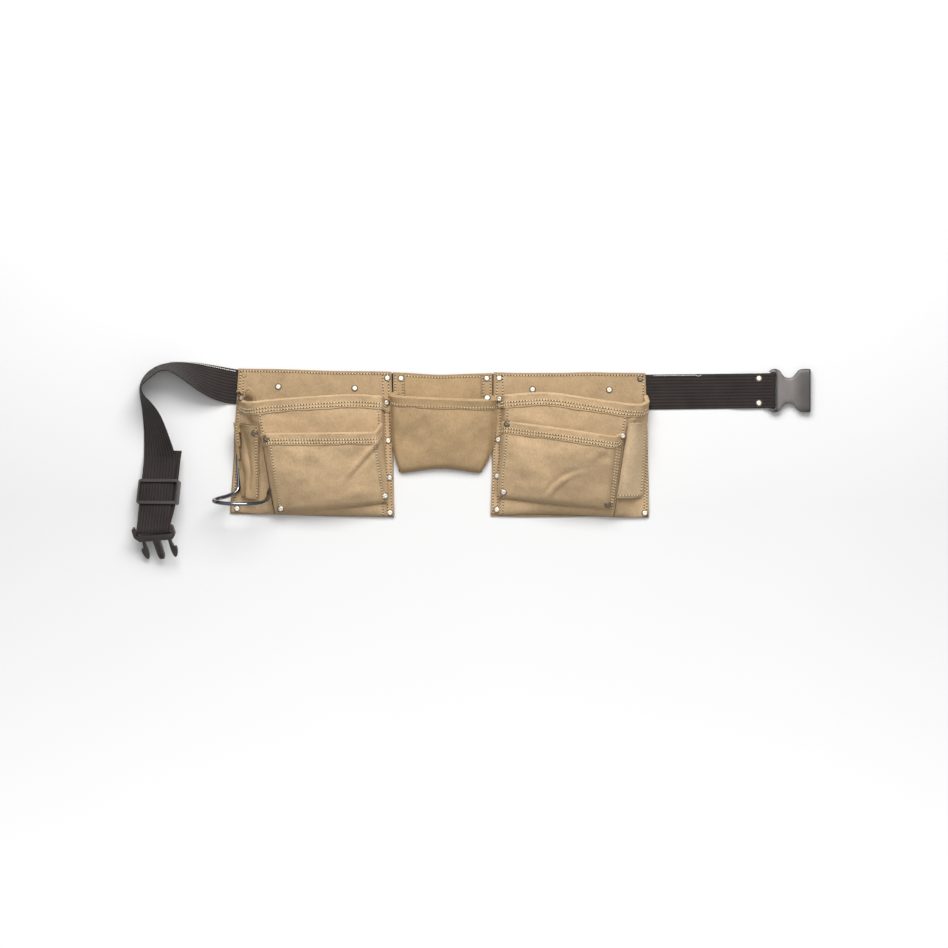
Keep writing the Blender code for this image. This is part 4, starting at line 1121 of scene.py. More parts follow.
def holder(bag, finish):
    """The tool holder on the left gusset: a back leaf and a front leaf that bulges off it."""
    plain = Pouch(LEFT_MAIN_COLUMNS, seat, 0.0, (1, 3))
    field = HeightField(plain.wall(1, 3, 1.0, step=4.0))
    b, f = np.meshgrid(np.linspace(0.0, 1.0, 52), np.linspace(0.0, 1.0, 16), indexing="ij")
    y = mix(-48.0, 54.0, b)
    left, right = mix(-323.0, -334.0, b), mix(-300.0, -298.5, b)
    fold = mix(-317.5, -326.0, b)
    x = mix(left, right, f)
    waver = 0.8 * roll(x, y, 45.0, 71)
    y_back = y - 2.0 * f
    back = Grid(np.stack([x, y_back, leaf_height(field, x, y_back) + waver], axis=-1))
    x = mix(fold, right - 1.0, f)
    swell = 4.8 + 5.5 * np.sin(math.pi * np.minimum(1.0, 0.28 + 0.72 * f))
    y_front = y - 2.0 * f - 3.0
    bend = 0.16 + 0.30 * np.sin(math.pi * np.clip(b * 1.1, 0.0, 1.0))
    dent = 3.4 * np.exp(-(((f - bend) / 0.13) ** 2)) * smoothstep(0.0, 0.25, b)
    dent = dent + 1.2 * np.sin(y / 11.0 + 0.6) * np.sin(math.pi * f)
    x = x + 1.8 * roll(0.0 * y, y, 60.0, 73) * (1.0 - f)
    height = leaf_height(field, x, y_front) + swell + 0.9 * roll(x, y_front, 38.0, 72) - dent
    front = Grid(np.stack([x, y_front, height], axis=-1))
    for name, grid in (("back", back), ("front", front)):
        piece = leather_sheet(f"tool_holder_{name}", grid, finish, LEATHER * 0.9)
        bag.add(piece, f"holder_{name}_leaf")
    bag.rows.along(front, (0.91, 0.03), (0.91, 0.97), above=LEATHER * 0.45)
    bag.rows.along(back, (0.09, 0.74), (0.09, 0.97), above=LEATHER * 0.45)


def square_sleeve(bag, finish):
    """The flat sleeve for a square, sewn on the right bag's gusset, open at its top."""
    plain = Pouch(RIGHT_MAIN_COLUMNS, seat, 0.0, (5, 8))
    field = HeightField(plain.wall(5, 8, 1.0, step=4.0))
    b, f = np.meshgrid(np.linspace(0.0, 1.0, 56), np.linspace(0.0, 1.0, 20), indexing="ij")
    y = mix(-51.0, 53.5, b)
    left, right = mix(202.0, 218.5, b), mix(238.0, 242.5, b)
    x = mix(left, right, f)
    corner = 9.0
    near_foot = np.clip((corner - (y + 51.0)) / corner, 0.0, 1.0)
    x = x - smoothstep(0.6, 1.0, f) * corner * (1.0 - np.sqrt(np.maximum(0.0, 1.0 - near_foot**2)))
    swell = 9.5 * np.sin(math.pi * f) * (0.35 + 0.65 * b)
    height = field(x, y) + LEATHER + 2.6 + swell + 0.5 * roll(x, y, 40.0, 81)
    grid = Grid(np.stack([x, y, height], axis=-1))
    piece = leather_sheet("square_sleeve_leather", grid, finish)
    bag.add(piece, "square_sleeve")
    bag.rows.along(grid, (0.05, 0.035), (0.86, 0.035))
    bag.rows.along(grid, (0.93, 0.10), (0.93, 0.93))


# ---------------------------------------------------------------- centre


CENTRE_COLUMNS = [
    ((-106.0, 97.5), (-102.5, -12.5), 0.0, 1.0),
    ((-114.0, 97.0), (-100.5, -14.0), 10.0, 0.6),
    ((-102.0, 92.5), (-94.0, -14.5), 24.0, 0.5),
    ((-45.0, 89.5), (-44.0, -9.0), 27.0, 0.45),
    ((15.0, 88.0), (4.0, -14.5), 24.0, 0.5),
    ((32.5, 90.5), (10.5, -14.0), 10.0, 0.6),
    ((22.0, 95.5), (12.5, -12.5), 0.0, 1.0),
]
CENTRE_SPREAD = 4.0


def over_band(x, y):
    return back_z(x, y) + LEATHER + CLEAR


def centre(finish):
    """The centre section: back panel, two side strips, and the pouch turned out below them."""
    rows = Rows()
    pieces = []

    def add(piece, *nodes):
        fasten(piece, "centre", "suede", *nodes)
        pieces.append(piece)

    left, right = LEFT_BAG_FOLD_X + PANEL_GAP, RIGHT_BAG_FOLD_X - PANEL_GAP
    bottom, top = -14.0, 124.7
    corners = ((left + 8.0, bottom), (right - 15.0, bottom), (right, top), (left, top))
    back = panel(corners, back_z, seed=51, arch=5.0, sag=3.0)
    add(leather_sheet("centre_back_leather", back, finish), "centre_back_panel")
    rows.along(back, (0.11, 0.972), (0.89, 0.972))
    for side, x0, x1 in (("left", left + 0.4, left + 15.6), ("right", right - 15.0, right - 0.4)):
        strip = panel(((x0, 84.0), (x1, 84.0), (x1, 122.0), (x0, 122.0)), over_band, step=1.6, seed=61)
        add(leather_sheet(f"centre_strip_{side}_leather", strip, finish), f"centre_strip_{side}")
        for a in (0.15, 0.85):
            rows.along(strip, (a, 0.2), (a, 0.95))
    pouch = Pouch(CENTRE_COLUMNS, seat, 3.0, (1, 5), relief_of(70.0, 1.2, 54), CENTRE_SPREAD)
    wall = pouch.wall(0, 6, 1.0 - (CENTRE_HEM - TUCKED) / pouch.rim_height())
    add(leather_sheet("centre_pouch_leather", wall, finish), "centre_pouch")
    name = "centre_pouch_rolled_hem"
    piece, hem = hem_piece(name, pouch, 0, CENTRE_HEM, finish, roll_radius=4.9, corner_passes=4, seed=55)
    add(piece, "centre_pouch_hem")
    hem_rows(rows, hem, (13.2,), 0.04)
    return pieces, rows


# ---------------------------------------------------------------- web

RIBS = 11
RIB_SAMPLES = 8
RIB_RISE = 0.34
WEB_STATION = 3.0


def web_piece(name, line, width, finish):
    """A ribbed web about a centre line. width is the unit direction across it at each place."""
    line, width = resampled(line, WEB_STATION, width)
    width = unit(width)
    ahead = unit(np.gradient(line, axis=0))
    width = unit(width - ahead * np.einsum("ij,ij->i", width, ahead)[:, None])
    normal = np.cross(width, ahead)
    count = RIBS * RIB_SAMPLES
    q = np.linspace(-1.0, 1.0, count + 1)
    wave = 0.5 - 0.5 * np.cos(2.0 * math.pi * RIBS * (q + 1.0) / 2.0)
    crest = np.sqrt(wave)
    edge_fall = np.sqrt(np.maximum(0.0, 1.0 - np.maximum(0.0, (abs(q) - 0.965) / 0.035) ** 2))
    half = (WEB / 2 - RIB_RISE + RIB_RISE * crest) * (0.25 + 0.75 * edge_fall)
    across = np.concatenate([q, q[::-1]]) * WEB_WIDTH / 2
    rise = np.concatenate([half, -half[::-1]])
    tint = np.concatenate([crest, crest[::-1]])
    points = line[:, None] + width[:, None] * across[None, :, None] + normal[:, None] * rise[None, :, None]
    sides = len(across)
    reach = walked(line)
    along = np.repeat(reach, sides) * MM
    over = np.tile(across, len(line)) * MM
    cloth = np.column_stack([along, over, np.repeat(0.0, len(along))])
    faces = ring_faces(len(line), sides)
    for start in (0, (len(line) - 1) * sides):
        for k in range(count):
            faces.append((start + k, start + k + 1, start + sides - 2 - k, start + sides - 1 - k))
    # The crest profile goes to the material, which paints crests lighter and valleys darker as light and
    # shade.
    attributes = {"cloth": cloth, "rib": np.tile(tint, len(line))}
    piece = mesh_piece(name, points.reshape(-1, 3), faces, finish, attributes, smooth_angle=50)
    return face_out(piece), reach[-1] * MM


def flat_run(x0, x1):
    """Centre line and width directions of the web where it lies flat on the ground."""
    x = np.linspace(x0, x1, 60)
    line = np.column_stack([x, web_y(x), np.full(60, WEB_Z)])
    return line, np.tile((0.0, -1.0, 0.0), (60, 1))


class Frame:
    """A local frame: across, along and up directions at an origin."""

    def __init__(self, origin, across, along):
        self.origin = np.asarray(origin, float)
        self.along = np.asarray(along, float) / np.linalg.norm(along)
        across = np.asarray(across, float)
        across = across - self.along * across.dot(self.along)
        self.across = across / np.linalg.norm(across)
        self.up = np.cross(self.across, self.along)
        if self.up[2] < 0:
            self.up = -self.up

    def place(self, point):
        x, y, z = point
        return self.origin + x * self.across + y * self.along + z * self.up

    def turned(self, origin, yaw, dip):
        """The frame yawed toward its across direction, then dipped about its new across direction."""
        across = math.cos(yaw) * self.across - math.sin(yaw) * self.along
        along = math.cos(yaw) * self.along + math.sin(yaw) * self.across
        return Frame(origin, across, math.cos(dip) * along - math.sin(dip) * self.up)


# The left strap's outer edge, (x, y, height of that edge), and how far the strap leans there.
LEFT_STRAP_EDGE = [
    ((-332.3, 129.5, 0.9), 0.0),
    ((-349.3, 132.5, 1.15), 13.0),
    ((-368.9, 136.0, 1.15), 30.0),
    ((-388.5, 138.8, 1.15), 46.0),
    ((-408.0, 139.8, 1.15), 62.0),
    ((-426.3, 138.2, 1.15), 76.0),
    ((-441.7, 134.0, 1.15), 79.0),
    ((-454.3, 126.3, 1.15), 78.0),
    ((-462.7, 116.2, 1.15), 80.5),
    ((-466.6, 104.3, 1.15), 85.0),
    ((-466.2, 91.7, 1.15), 81.0),
    ((-464.5, 79.1, 1.15), 70.0),
    ((-462.7, 63.7, 1.15), 58.0),
    ((-461.3, 44.1, 1.2), 47.0),
    ((-461.0, 23.1, 2.0), 34.0),
    ((-461.1, 6.0, 4.2), 22.0),
]
STRAP_STRAIGHT_START = np.array([-461.2, 0.0, 5.6])
STRAP_STRAIGHT_END = np.array([-470.0, -96.0, 29.0])
STRAP_STRAIGHT_LENGTH = float(np.linalg.norm(STRAP_STRAIGHT_END - STRAP_STRAIGHT_START))
STRAP_LEAN = math.radians(19.4)
BUCKLE_YAW = math.radians(5.0)
YAWED_REACH = 22.0
TAIL_SHIFT = 5.5
TAIL_DROP = WEB + 0.5
TAIL_END = -17.0
GLIDE_AT = 44.0
BAR_RADIUS = 2.2
LOOP_RADIUS = BAR_RADIUS + 0.55 + WEB / 2


def strap_frame():
    """The frame of the left strap's straight lower stretch, at its outer edge's start."""
    across = (math.cos(STRAP_LEAN), 0.01, math.sin(STRAP_LEAN))
    return Frame(STRAP_STRAIGHT_START, across, STRAP_STRAIGHT_END - STRAP_STRAIGHT_START)


def loop_section(start, radius, turns, height):
    """(along, up) pairs of a web that comes in above a bar, rounds it and leaves below."""
    return [(start + radius * math.cos(a), height + radius * math.sin(a)) for a in turns]


def left_strap_rows():
    """(outer edge, inner edge) of the left strap from the bag to its tail's end."""
    edge = np.array([place for place, _ in LEFT_STRAP_EDGE])
    lean = np.array([[angle] for _, angle in LEFT_STRAP_EDGE])
    stations = smooth_curve(np.hstack([edge, lean]), 90)
    rows = []
    for i, (x, y, z, angle) in enumerate(stations):
        ahead = stations[min(i + 1, len(stations) - 1)][:2] - stations[max(i - 1, 0)][:2]
        ahead /= np.linalg.norm(ahead)
        inward = np.array([-ahead[1], ahead[0]])
        turn = math.radians(angle)
        width = np.array([inward[0] * math.cos(turn), inward[1] * math.cos(turn), math.sin(turn)])
        if i == 0:
            width = np.array([0.0, -1.0, 0.0])
        rows.append((np.array([x, y, z]), np.array([x, y, z]) + width * WEB_WIDTH))
    frame_there = strap_frame()
    bar = STRAP_STRAIGHT_LENGTH
    turns = np.radians(np.arange(90.0, -91.0, -15.0))
    below = -TAIL_DROP
    profile = [(along, 0.0, 0.0) for along in np.linspace(2.0, bar - 14.0, 12)]
    profile += [(bar - 6.0, 0.7, 0.3)]
    profile += [(along, up, 0.6) for along, up in loop_section(bar, LOOP_RADIUS, turns, below / 2)]
    profile += [(bar - 6.0, below - 0.9, 0.6), (bar - 12.0, below, 0.8)]
    for along in np.linspace(bar - 18.0, 2.0, 11):
        profile.append((along, below, float(np.interp(along, (60.0, bar - 12.0), (TAIL_SHIFT, 0.8)))))
    profile += [(-6.0, below - 0.15, TAIL_SHIFT + 0.2), (TAIL_END, below - 0.6, TAIL_SHIFT + 0.5)]
    for along, up, shift in profile:
        slant = math.tan(BUCKLE_YAW) * float(np.interp(along, (bar - YAWED_REACH, bar - 6.0), (0.0, 1.0)))
        row = [(shift + WEB_WIDTH * f, along - slant * WEB_WIDTH * (f - 0.5), up) for f in (0.0, 1.0)]
        rows.append([frame_there.place(point) for point in row])
    return np.array(rows, float)


WEB_SPLITS = (-220.0, -42.0, 140.0)


def webs(finish, stitching):
    """The web in four stretches that meet where they are sewn down, each crossing one fold."""
    first, second, third = WEB_SPLITS
    lines = {}
    flat, flat_width = flat_run(first, LEFT_STRAP_FOLD_X)
    rows = left_strap_rows()
    line = np.vstack([flat[:-1], rows.mean(axis=1)])
    width = np.vstack([flat_width[:-1], unit(rows[:, 1] - rows[:, 0])])
    lines["web_left_strap"] = (line, width, "left_bag", "left_strap", LEFT_STRAP_FOLD_X, ["left_strap_web"])
    line, width = flat_run(second, first)
    lines["web_left_fold"] = (line, width, "centre", "left_bag", LEFT_BAG_FOLD_X, ["left_bag_web"])
    line, width = flat_run(second, third)
    lines["web_right_fold"] = (line, -width, "centre", "right_bag", RIGHT_BAG_FOLD_X, ["centre_web"])
    line, width = right_strap_line(third)
    replaced = ["right_strap_web", "right_bag_web"]
    lines["web_right_strap"] = (line, width, "right_bag", "right_strap", RIGHT_STRAP_FOLD_X, replaced)
    pieces = {}
    for name, (line, width, near, far, fold, nodes) in lines.items():
        piece, length = web_piece(name, line, width, finish)
        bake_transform(piece)
        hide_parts(*nodes)
        pieces[name] = piece
    edge_run(rows, stitching)
    return pieces


def right_strap_line(start):
    """The right strap: flat, over the female buckle's bar, and sewn back under itself."""
    upper = WEB_Z + WEB + 0.4
    turns = np.radians(np.arange(90.0, -91.0, -15.0))
    round_bar = loop_section(FEMALE_BAR_X, LOOP_RADIUS, turns, FEMALE_BAR_Z)
    profile = [(x, WEB_Z) for x in np.linspace(start, 358.0, 50)]
    profile += [(366.0, mix(WEB_Z, upper, 0.4)), (374.0, upper)]
    profile += [(x, upper) for x in np.linspace(380.0, 407.5, 8)]
    profile += [(413.5, FEMALE_BAR_Z + LOOP_RADIUS * 0.6), *round_bar]
    profile += [(410.0, WEB_Z + 0.9), (400.0, WEB_Z), (384.0, WEB_Z)]
    profile = np.array(profile)
    line = np.column_stack([profile[:, 0], web_y(profile[:, 0]), profile[:, 1]])
    return line, np.tile((0.0, 1.0, 0.0), (len(line), 1))


def edge_run(rows, stitching):
    """The runs of pale thread near the top edge of each strap, where the lining's end is sewn."""
    normal = unit(np.cross(rows[:, 1] - rows[:, 0], np.gradient(rows.mean(axis=1), axis=0)))
    picked = slice(0, 30)
    inset = mix(rows[picked, 0], rows[picked, 1], 0.06)
    stitching["left_strap"] = Rows()
    above = np.where(normal[picked, 2:] < 0, -1.0, 1.0)
    run = inset + normal[picked] * above * (WEB / 2 + 0.25)
    stitching["left_strap"].add(run, normal[picked] * above, pitch=2.9, length=2.7, width=1.5)
    stitching["right_strap"] = Rows()
    x = np.linspace(254.0, 313.0, 30)
    tick = [(317.5, -3.2), (321.0, -1.6)]
    run = np.column_stack([x, web_y(x) + WEB_WIDTH / 2 - 1.6, np.full(30, WEB + 0.05)])
    tail = [(tx, web_y(tx) + WEB_WIDTH / 2 + ty, WEB + 0.05) for tx, ty in tick]
    run = np.vstack([run, tail])
    stitching["right_strap"].add(run, np.tile(UP, (len(run), 1)), pitch=3.0, length=2.9, width=1.1)


# ---------------------------------------------------------------- steel loop

WIRE_RADIUS = 2.9
HAMMER_LOOP_ROUTE = [
    (-329.5, 8.0, 9.0),
    (-328.8, -14.0, 8.8),
    (-328.0, -30.0, 8.8),
    (-330.0, -41.0, 11.5),
    (-342.0, -48.0, 19.0),
    (-356.0, -52.0, 31.0),
    (-361.0, -54.5, 42.0),
    (-355.0, -57.0, 52.0),
    (-338.0, -59.0, 59.0),
    (-318.0, -59.5, 59.0),
    (-300.0, -58.5, 50.5),
    (-289.5, -55.5, 42.0),
    (-285.2, -49.0, 35.0),
    (-284.8, -43.5, 30.5),
    (-282.8, -38.5, 25.0),
    (-280.0, -34.5, 20.5),
]


def wire(name, route, radius, finish, sides=28, step=1.6):
    """A round wire along a route, with domed ends."""
    line = resampled(smooth_curve(route, 400), step)
    ahead = unit(np.gradient(line, axis=0))
    side = np.array([0.0, 1.0, 0.0])
    points = []
    caps = [(0.0, 0.02), (0.12, 0.45), (0.35, 0.75), (0.7, 0.95)]
    stations = [(line[0] + ahead[0] * radius * (d - 1.0) * 0.9, ahead[0], g) for d, g in caps]
    stations += [(p, a, 1.0) for p, a in zip(line, ahead)]
    stations += [(line[-1] - ahead[-1] * radius * (d - 1.0) * 0.9, ahead[-1], g) for d, g in reversed(caps)]
    for place, forward, girth in stations:
        side = unit(side - forward * side.dot(forward))
        over = np.cross(forward, side)
        for k in range(sides):
            turn = 2.0 * math.pi * k / sides
            points.append(place + radius * girth * (math.cos(turn) * side + math.sin(turn) * over))
    faces = ring_faces(len(stations), sides)
    faces.append(tuple(range(sides)))
    faces.append(tuple(range((len(stations) - 1) * sides, len(stations) * sides)))
    return face_out(mesh_piece(name, points, faces, finish, smooth_angle=70))


# ---------------------------------------------------------------- moulded plastics

FEMALE_BAR_Z = 6.0
FEMALE_LENGTH = 53.0
FEMALE_WIDTH = 61.0
FEMALE_THICK = 11.6
SOCKET_HEIGHT = 7.0
WEB_SLOT_END = 5.3
SOCKET_WIDTH = 51.0
MALE_FRAME_WIDTH = 62.0
MALE_FRAME_LENGTH = 16.0
MALE_THICK = 5.4
MALE_FOLD = math.radians(50.0)
ARM_HALF_SPAN = 21.5
GLIDE_LENGTH = 36.0
GLIDE_RAIL = 2.4
GLIDE_BAR = 4.2
GLIDE_BAR_THICK = 2.6


def prism(name, outline, bottom, top, finish, frame_there=None):
    points = [(x, y, z) for z in (bottom, top) for x, y in outline]
    if frame_there is not None:
        points = [frame_there.place(p) for p in points]
    count = len(outline)
    faces = ring_faces(2, count)
    faces += [tuple(reversed(range(count))), tuple(range(count, 2 * count))]
    return face_out(mesh_piece(name, points, faces, finish, smooth_angle=35))


def combined(obj, other, operation):
    """Cuts another piece from a piece, or joins it on, and removes it."""
    boolean = obj.modifiers.new("shape", "BOOLEAN")
    boolean.operation = operation
    boolean.solver = "EXACT"
    boolean.object = other
    applied(obj)
    bpy.data.objects.remove(other)


def applied(obj):
    """Makes a piece's modifiers part of its mesh."""
    graph = bpy.context.evaluated_depsgraph_get()
    made = bpy.data.meshes.new_from_object(obj.evaluated_get(graph))
    obj.modifiers.clear()
    obj.data = made


# Edges that turn by more than this, in degrees, are rounded.
SOFTENED_ABOVE = 40.0


def softened(obj, width, segments=3):
    """Rounds a moulded piece's edges."""
    bevel = obj.modifiers.new("edges", "BEVEL")
    bevel.width = width * MM
    bevel.segments = segments
    bevel.limit_method = "ANGLE"
    bevel.angle_limit = math.radians(SOFTENED_ABOVE)
    applied(obj)
    obj.data.shade_smooth()
    obj.data.set_sharp_from_angle(angle=math.radians(38.0))
    places = np.zeros(len(obj.data.vertices) * 3, np.float32)
    obj.data.vertices.foreach_get("co", places)
    rest = obj.data.attributes.get("place") or obj.data.attributes.new("place", "FLOAT_VECTOR", "POINT")
    rest.data.foreach_set("vector", places)
    return obj


def box_cutter(low, high, frame_there=None):
    outline = [(low[0], low[1]), (high[0], low[1]), (high[0], high[1]), (low[0], high[1])]
    return prism("cutter", outline, low[2], high[2], None, frame_there)


FEMALE_EDGE_X = (
    -5.6, -4.6, -2.5, 1.0, 6.0, 10.0, 13.0, 16.5, 21.0, 25.5, 29.0, 32.5, 36.0, 39.5, 46.0, 52.0, 53.0,
)
FEMALE_EDGE_IN = (6.5, 3.4, 1.2, 0.0, 0.4, 2.6, 7.0, 10.8, 12.4, 12.2, 10.2, 6.0, 2.2, 0.5, 0.0, 0.1, 0.9)


def female_buckle(finish):
    """The female buckle: a shell with a waist, a socket open at its mouth and a web bar."""
    y0 = float(web_y(FEMALE_BAR_X))
    stations = smooth_curve(np.column_stack([FEMALE_EDGE_X, FEMALE_EDGE_IN]), 110)
    sides = 56
    points = []
    for x, inset in stations:
        half_width = FEMALE_WIDTH / 2 - inset
        share = (x + 5.0) / FEMALE_LENGTH
        waist = math.exp(-(((x - 22.0) / 13.0) ** 2))
        half_tall = FEMALE_THICK / 2 * (1.0 - 0.10 * waist)
        if x < -2.5:
            half_tall *= 0.80 + 0.20 * smoothstep(-5.6, -2.5, x)
        half_tall *= 1.0 - 0.12 * smoothstep(0.97, 1.0, share * FEMALE_LENGTH / 58.0)
        for k in range(sides):
            turn = 2.0 * math.pi * k / sides
            c, s = math.cos(turn), math.sin(turn)
            # A flat-topped oval section: full in the middle, rounded at the rims.
            out_y = half_width * math.copysign(abs(c) ** 0.30, c)
            out_z = half_tall * math.copysign(abs(s) ** 0.42, s)
            points.append((FEMALE_BAR_X + x, y0 + out_y, FEMALE_BAR_Z + out_z))
    faces = ring_faces(len(stations), sides)
    faces.append(tuple(reversed(range(sides))))
    faces.append(tuple(range((len(stations) - 1) * sides, len(stations) * sides)))
    body = face_out(mesh_piece("female_buckle_shell", points, faces, finish))
    half = SOCKET_WIDTH / 2
    corner = np.array([FEMALE_BAR_X, y0, FEMALE_BAR_Z])
    helpers = (
        ((-12.0, -26.4, -12.0), (-1.2, 26.4, 12.0)),
        ((-12.0, -26.4, -12.0), (WEB_SLOT_END, 26.4, -1.0)),
        ((1.2, -26.3, -12.0), (WEB_SLOT_END - 0.05, 26.3, 12.0)),
        ((-3.0, -26.2, 0.9), (3.0, 26.2, 12.0)),
        ((13.0, -half + 12.5, -SOCKET_HEIGHT / 2), (60.0, half - 12.5, SOCKET_HEIGHT / 2)),
        ((31.5, -half, -SOCKET_HEIGHT / 2), (60.0, half, SOCKET_HEIGHT / 2)),
    )
    for low, high in helpers:
        combined(body, box_cutter(corner + low, corner + high), "DIFFERENCE")
    route = [corner + (0.0, y, 0.0) for y in (-27.5, 0.0, 27.5)]
    bar = wire("bar", route, BAR_RADIUS, None)
    combined(body, bar, "UNION")
    softened(body, 0.45, 2)
    fasten(body, "female_buckle", "grey_plastic", "female_buckle")
    return body


def male_frame():
    """The male buckle's frame at its bar, folded down from the strap's run."""
    there = strap_frame()
    origin = there.place((0.6 + WEB_WIDTH / 2, STRAP_STRAIGHT_LENGTH, -TAIL_DROP / 2))
    return there.turned(origin, BUCKLE_YAW, MALE_FOLD)


def male_buckle(finish):
    """The male buckle's frame with its web bar and grooved centre prong."""
    there = male_frame()
    half = MALE_FRAME_WIDTH / 2
    thick = MALE_THICK / 2
    length = MALE_FRAME_LENGTH
    outline = [(-half, -4.0), (-half + 0.8, -5.6), (-half + 3.0, -6.5)]
    outline += [(half - 3.0, -6.5), (half - 0.8, -5.6)]
    outline += [(half, -4.0), (half, 8.0), (half - 1.4, length - 5.5), (half - 4.0, length - 2.4)]
    outline += [(half - 6.5, length), (-half + 6.5, length), (-half + 4.0, length - 2.4)]
    outline += [(-half + 1.4, length - 5.5), (-half, 8.0)]
    body = prism("male_buckle_frame", outline, -thick, thick, finish, there)
    slot = box_cutter((-26.4, -12.0, -12.0), (26.4, -1.2, 12.0), there)
    combined(body, slot, "DIFFERENCE")
    combined(body, box_cutter((-26.4, 1.2, -12.0), (26.4, 6.2, 12.0), there), "DIFFERENCE")
    combined(body, box_cutter((-26.4, -2.0, -12.0), (26.4, 2.0, -0.9), there), "DIFFERENCE")
    ends = [there.place((-28.0, 0.0, 0.0)), there.place((0.0, 0.0, 0.0)), there.place((28.0, 0.0, 0.0))]
    combined(body, wire("bar", ends, BAR_RADIUS, None), "UNION")
    prong = [(-5.5, length - 1.0), (5.5, length - 1.0), (5.0, 40.0), (4.4, 44.5), (2.8, 48.0)]
    prong += [(-2.8, 48.0), (-4.4, 44.5), (-5.0, 40.0)]
    combined(body, prism("prong", prong, -2.1, 2.1, None, there), "UNION")
    combined(body, box_cutter((-2.1, length + 4.0, 0.8), (2.1, 45.0, 5.0), there), "DIFFERENCE")
    softened(body, 0.6)
    fasten(body, "male_buckle", "grey_plastic", "male_buckle")


def buckle_arm(side, sign, finish):
    """A sprung arm of the male buckle, with a barbed, ribbed head."""
    there = male_frame()
    root = MALE_FRAME_LENGTH + 0.4
    stem = [(-1.7, root), (1.7, root), (2.3, root + 7.0), (3.6, root + 13.2), (6.4, root + 13.0)]
    stem += [(7.0, root + 16.0), (6.6, root + 20.0), (5.2, root + 25.0)]
    stem += [(3.4, root + 28.6), (1.6, root + 30.0)]
    stem += [(-0.2, root + 29.4), (-1.3, root + 27.0), (-2.3, root + 21.0)]
    stem += [(-2.4, root + 15.0), (-2.0, root + 7.0)]
    placed = [(sign * (ARM_HALF_SPAN - 2.0 + x), y) for x, y in stem]
    body = prism(f"buckle_arm_{side}_spring", placed, -2.2, 2.2, finish, there)
    for n in range(3):
        along = root + 17.5 + 3.2 * n
        low, high = sign * (ARM_HALF_SPAN - 1.0), sign * (ARM_HALF_SPAN + 2.2)
        low, high = min(low, high), max(low, high)
        groove = box_cutter((low, along, 1.75), (high, along + 1.1, 4.0), there)
        combined(body, groove, "DIFFERENCE")
    softened(body, 0.5)
    fasten(body, f"buckle_arm_{side}", "grey_plastic", f"buckle_arm_{side}")


def rounded_rectangle(width, length, radius, steps=6):
    outline = []
    corners = (
        (width / 2 - radius, length / 2 - radius, 0.0),
        (-width / 2 + radius, length / 2 - radius, 90.0),
        (-width / 2 + radius, -length / 2 + radius, 180.0),
        (width / 2 - radius, -length / 2 + radius, 270.0),
    )
    for cx, cy, start in corners:
        for i in range(steps + 1):
            turn = math.radians(start + 90.0 * i / steps)
            outline.append((cx + radius * math.cos(turn), cy + radius * math.sin(turn)))
    return outline


def tri_glide(finish):
    """The tri-glide: end bars over the web's two layers, a centre bar under them, rails beside."""
    strap = strap_frame()
    middle = strap.place((WEB_WIDTH / 2 + TAIL_SHIFT / 2, GLIDE_AT, -TAIL_DROP / 2))
    there = Frame(middle, strap.across, strap.along)
    inner = (WEB_WIDTH + TAIL_SHIFT) / 2 + 0.7
    level = TAIL_DROP / 2 + WEB / 2 + 0.5
    high = level + GLIDE_BAR_THICK
    half = GLIDE_LENGTH / 2
    outline = rounded_rectangle(2 * (inner + GLIDE_RAIL), GLIDE_LENGTH, 4.0)
    body = prism("tri_glide_moulding", outline, -high, high, finish, there)
    # Each cutter is a little narrower than the last, so that none of their faces coincide.
    window = rounded_rectangle(2 * inner - 0.1, GLIDE_LENGTH - 2 * GLIDE_BAR, 2.0)
    narrow = inner - 0.1
    cutters = [
        box_cutter((-inner, -half - 5.0, -level), (inner, half + 5.0, level), there),
        prism("cutter", window, 0.1, high + 5.0, None, there),
        box_cutter((-narrow, -half - 4.0, -high - 5.0), (narrow, -3.0, -0.1), there),
        box_cutter((-narrow, 3.0, -high - 5.0), (narrow, half + 4.0, -0.1), there),
    ]
    for cutter in cutters:
        combined(body, cutter, "DIFFERENCE")
    softened(body, 0.8)
    fasten(body, "tri_glide", "grey_plastic", "tri_glide")


# ---------------------------------------------------------------- stage

VIEW_LENS = 200.0
VIEW_SENSOR = 36.0
VIEW_WIDTH = 1.3272
VIEW_CENTRE = (0.0021, -0.0175)
VIEW_LEVEL = 0.020
FLOOR_REACH = 6000.0
FLOOR_LEVEL = -0.6


def area_light(name, place, size, power, aim=(0.0, 0.03, 0.0)):
    light = bpy.data.lights.new(name, "AREA")
    light.shape = "RECTANGLE"
    light.size, light.size_y = size
    light.energy = power
    obj = bpy.data.objects.new(name, light)
    obj.location = place
    obj.rotation_mode = "QUATERNION"
    obj.rotation_quaternion = (Vector(aim) - Vector(place)).to_track_quat("-Z", "Y")
    bpy.context.scene.collection.objects.link(obj)


def studio_world():
    """A pale room, brightest overhead and dark near the floor, for shape in metal and plastic."""
    s = Shading(bpy.data.worlds.new("studio"))
    height = s.add("SeparateXYZ", {0: s.add("TexCoord", {}, "Generated")}, "Z")
    levels = ((0.0, 0.06), (0.35, 0.16), (0.8, 0.50), (1.0, 0.58))
    colour = s.ramp(height, *((position, grey(level)) for position, level in levels))
    s.put(s.nodes["Background"], {"Color": colour})
    bpy.context.scene.world = s.owner


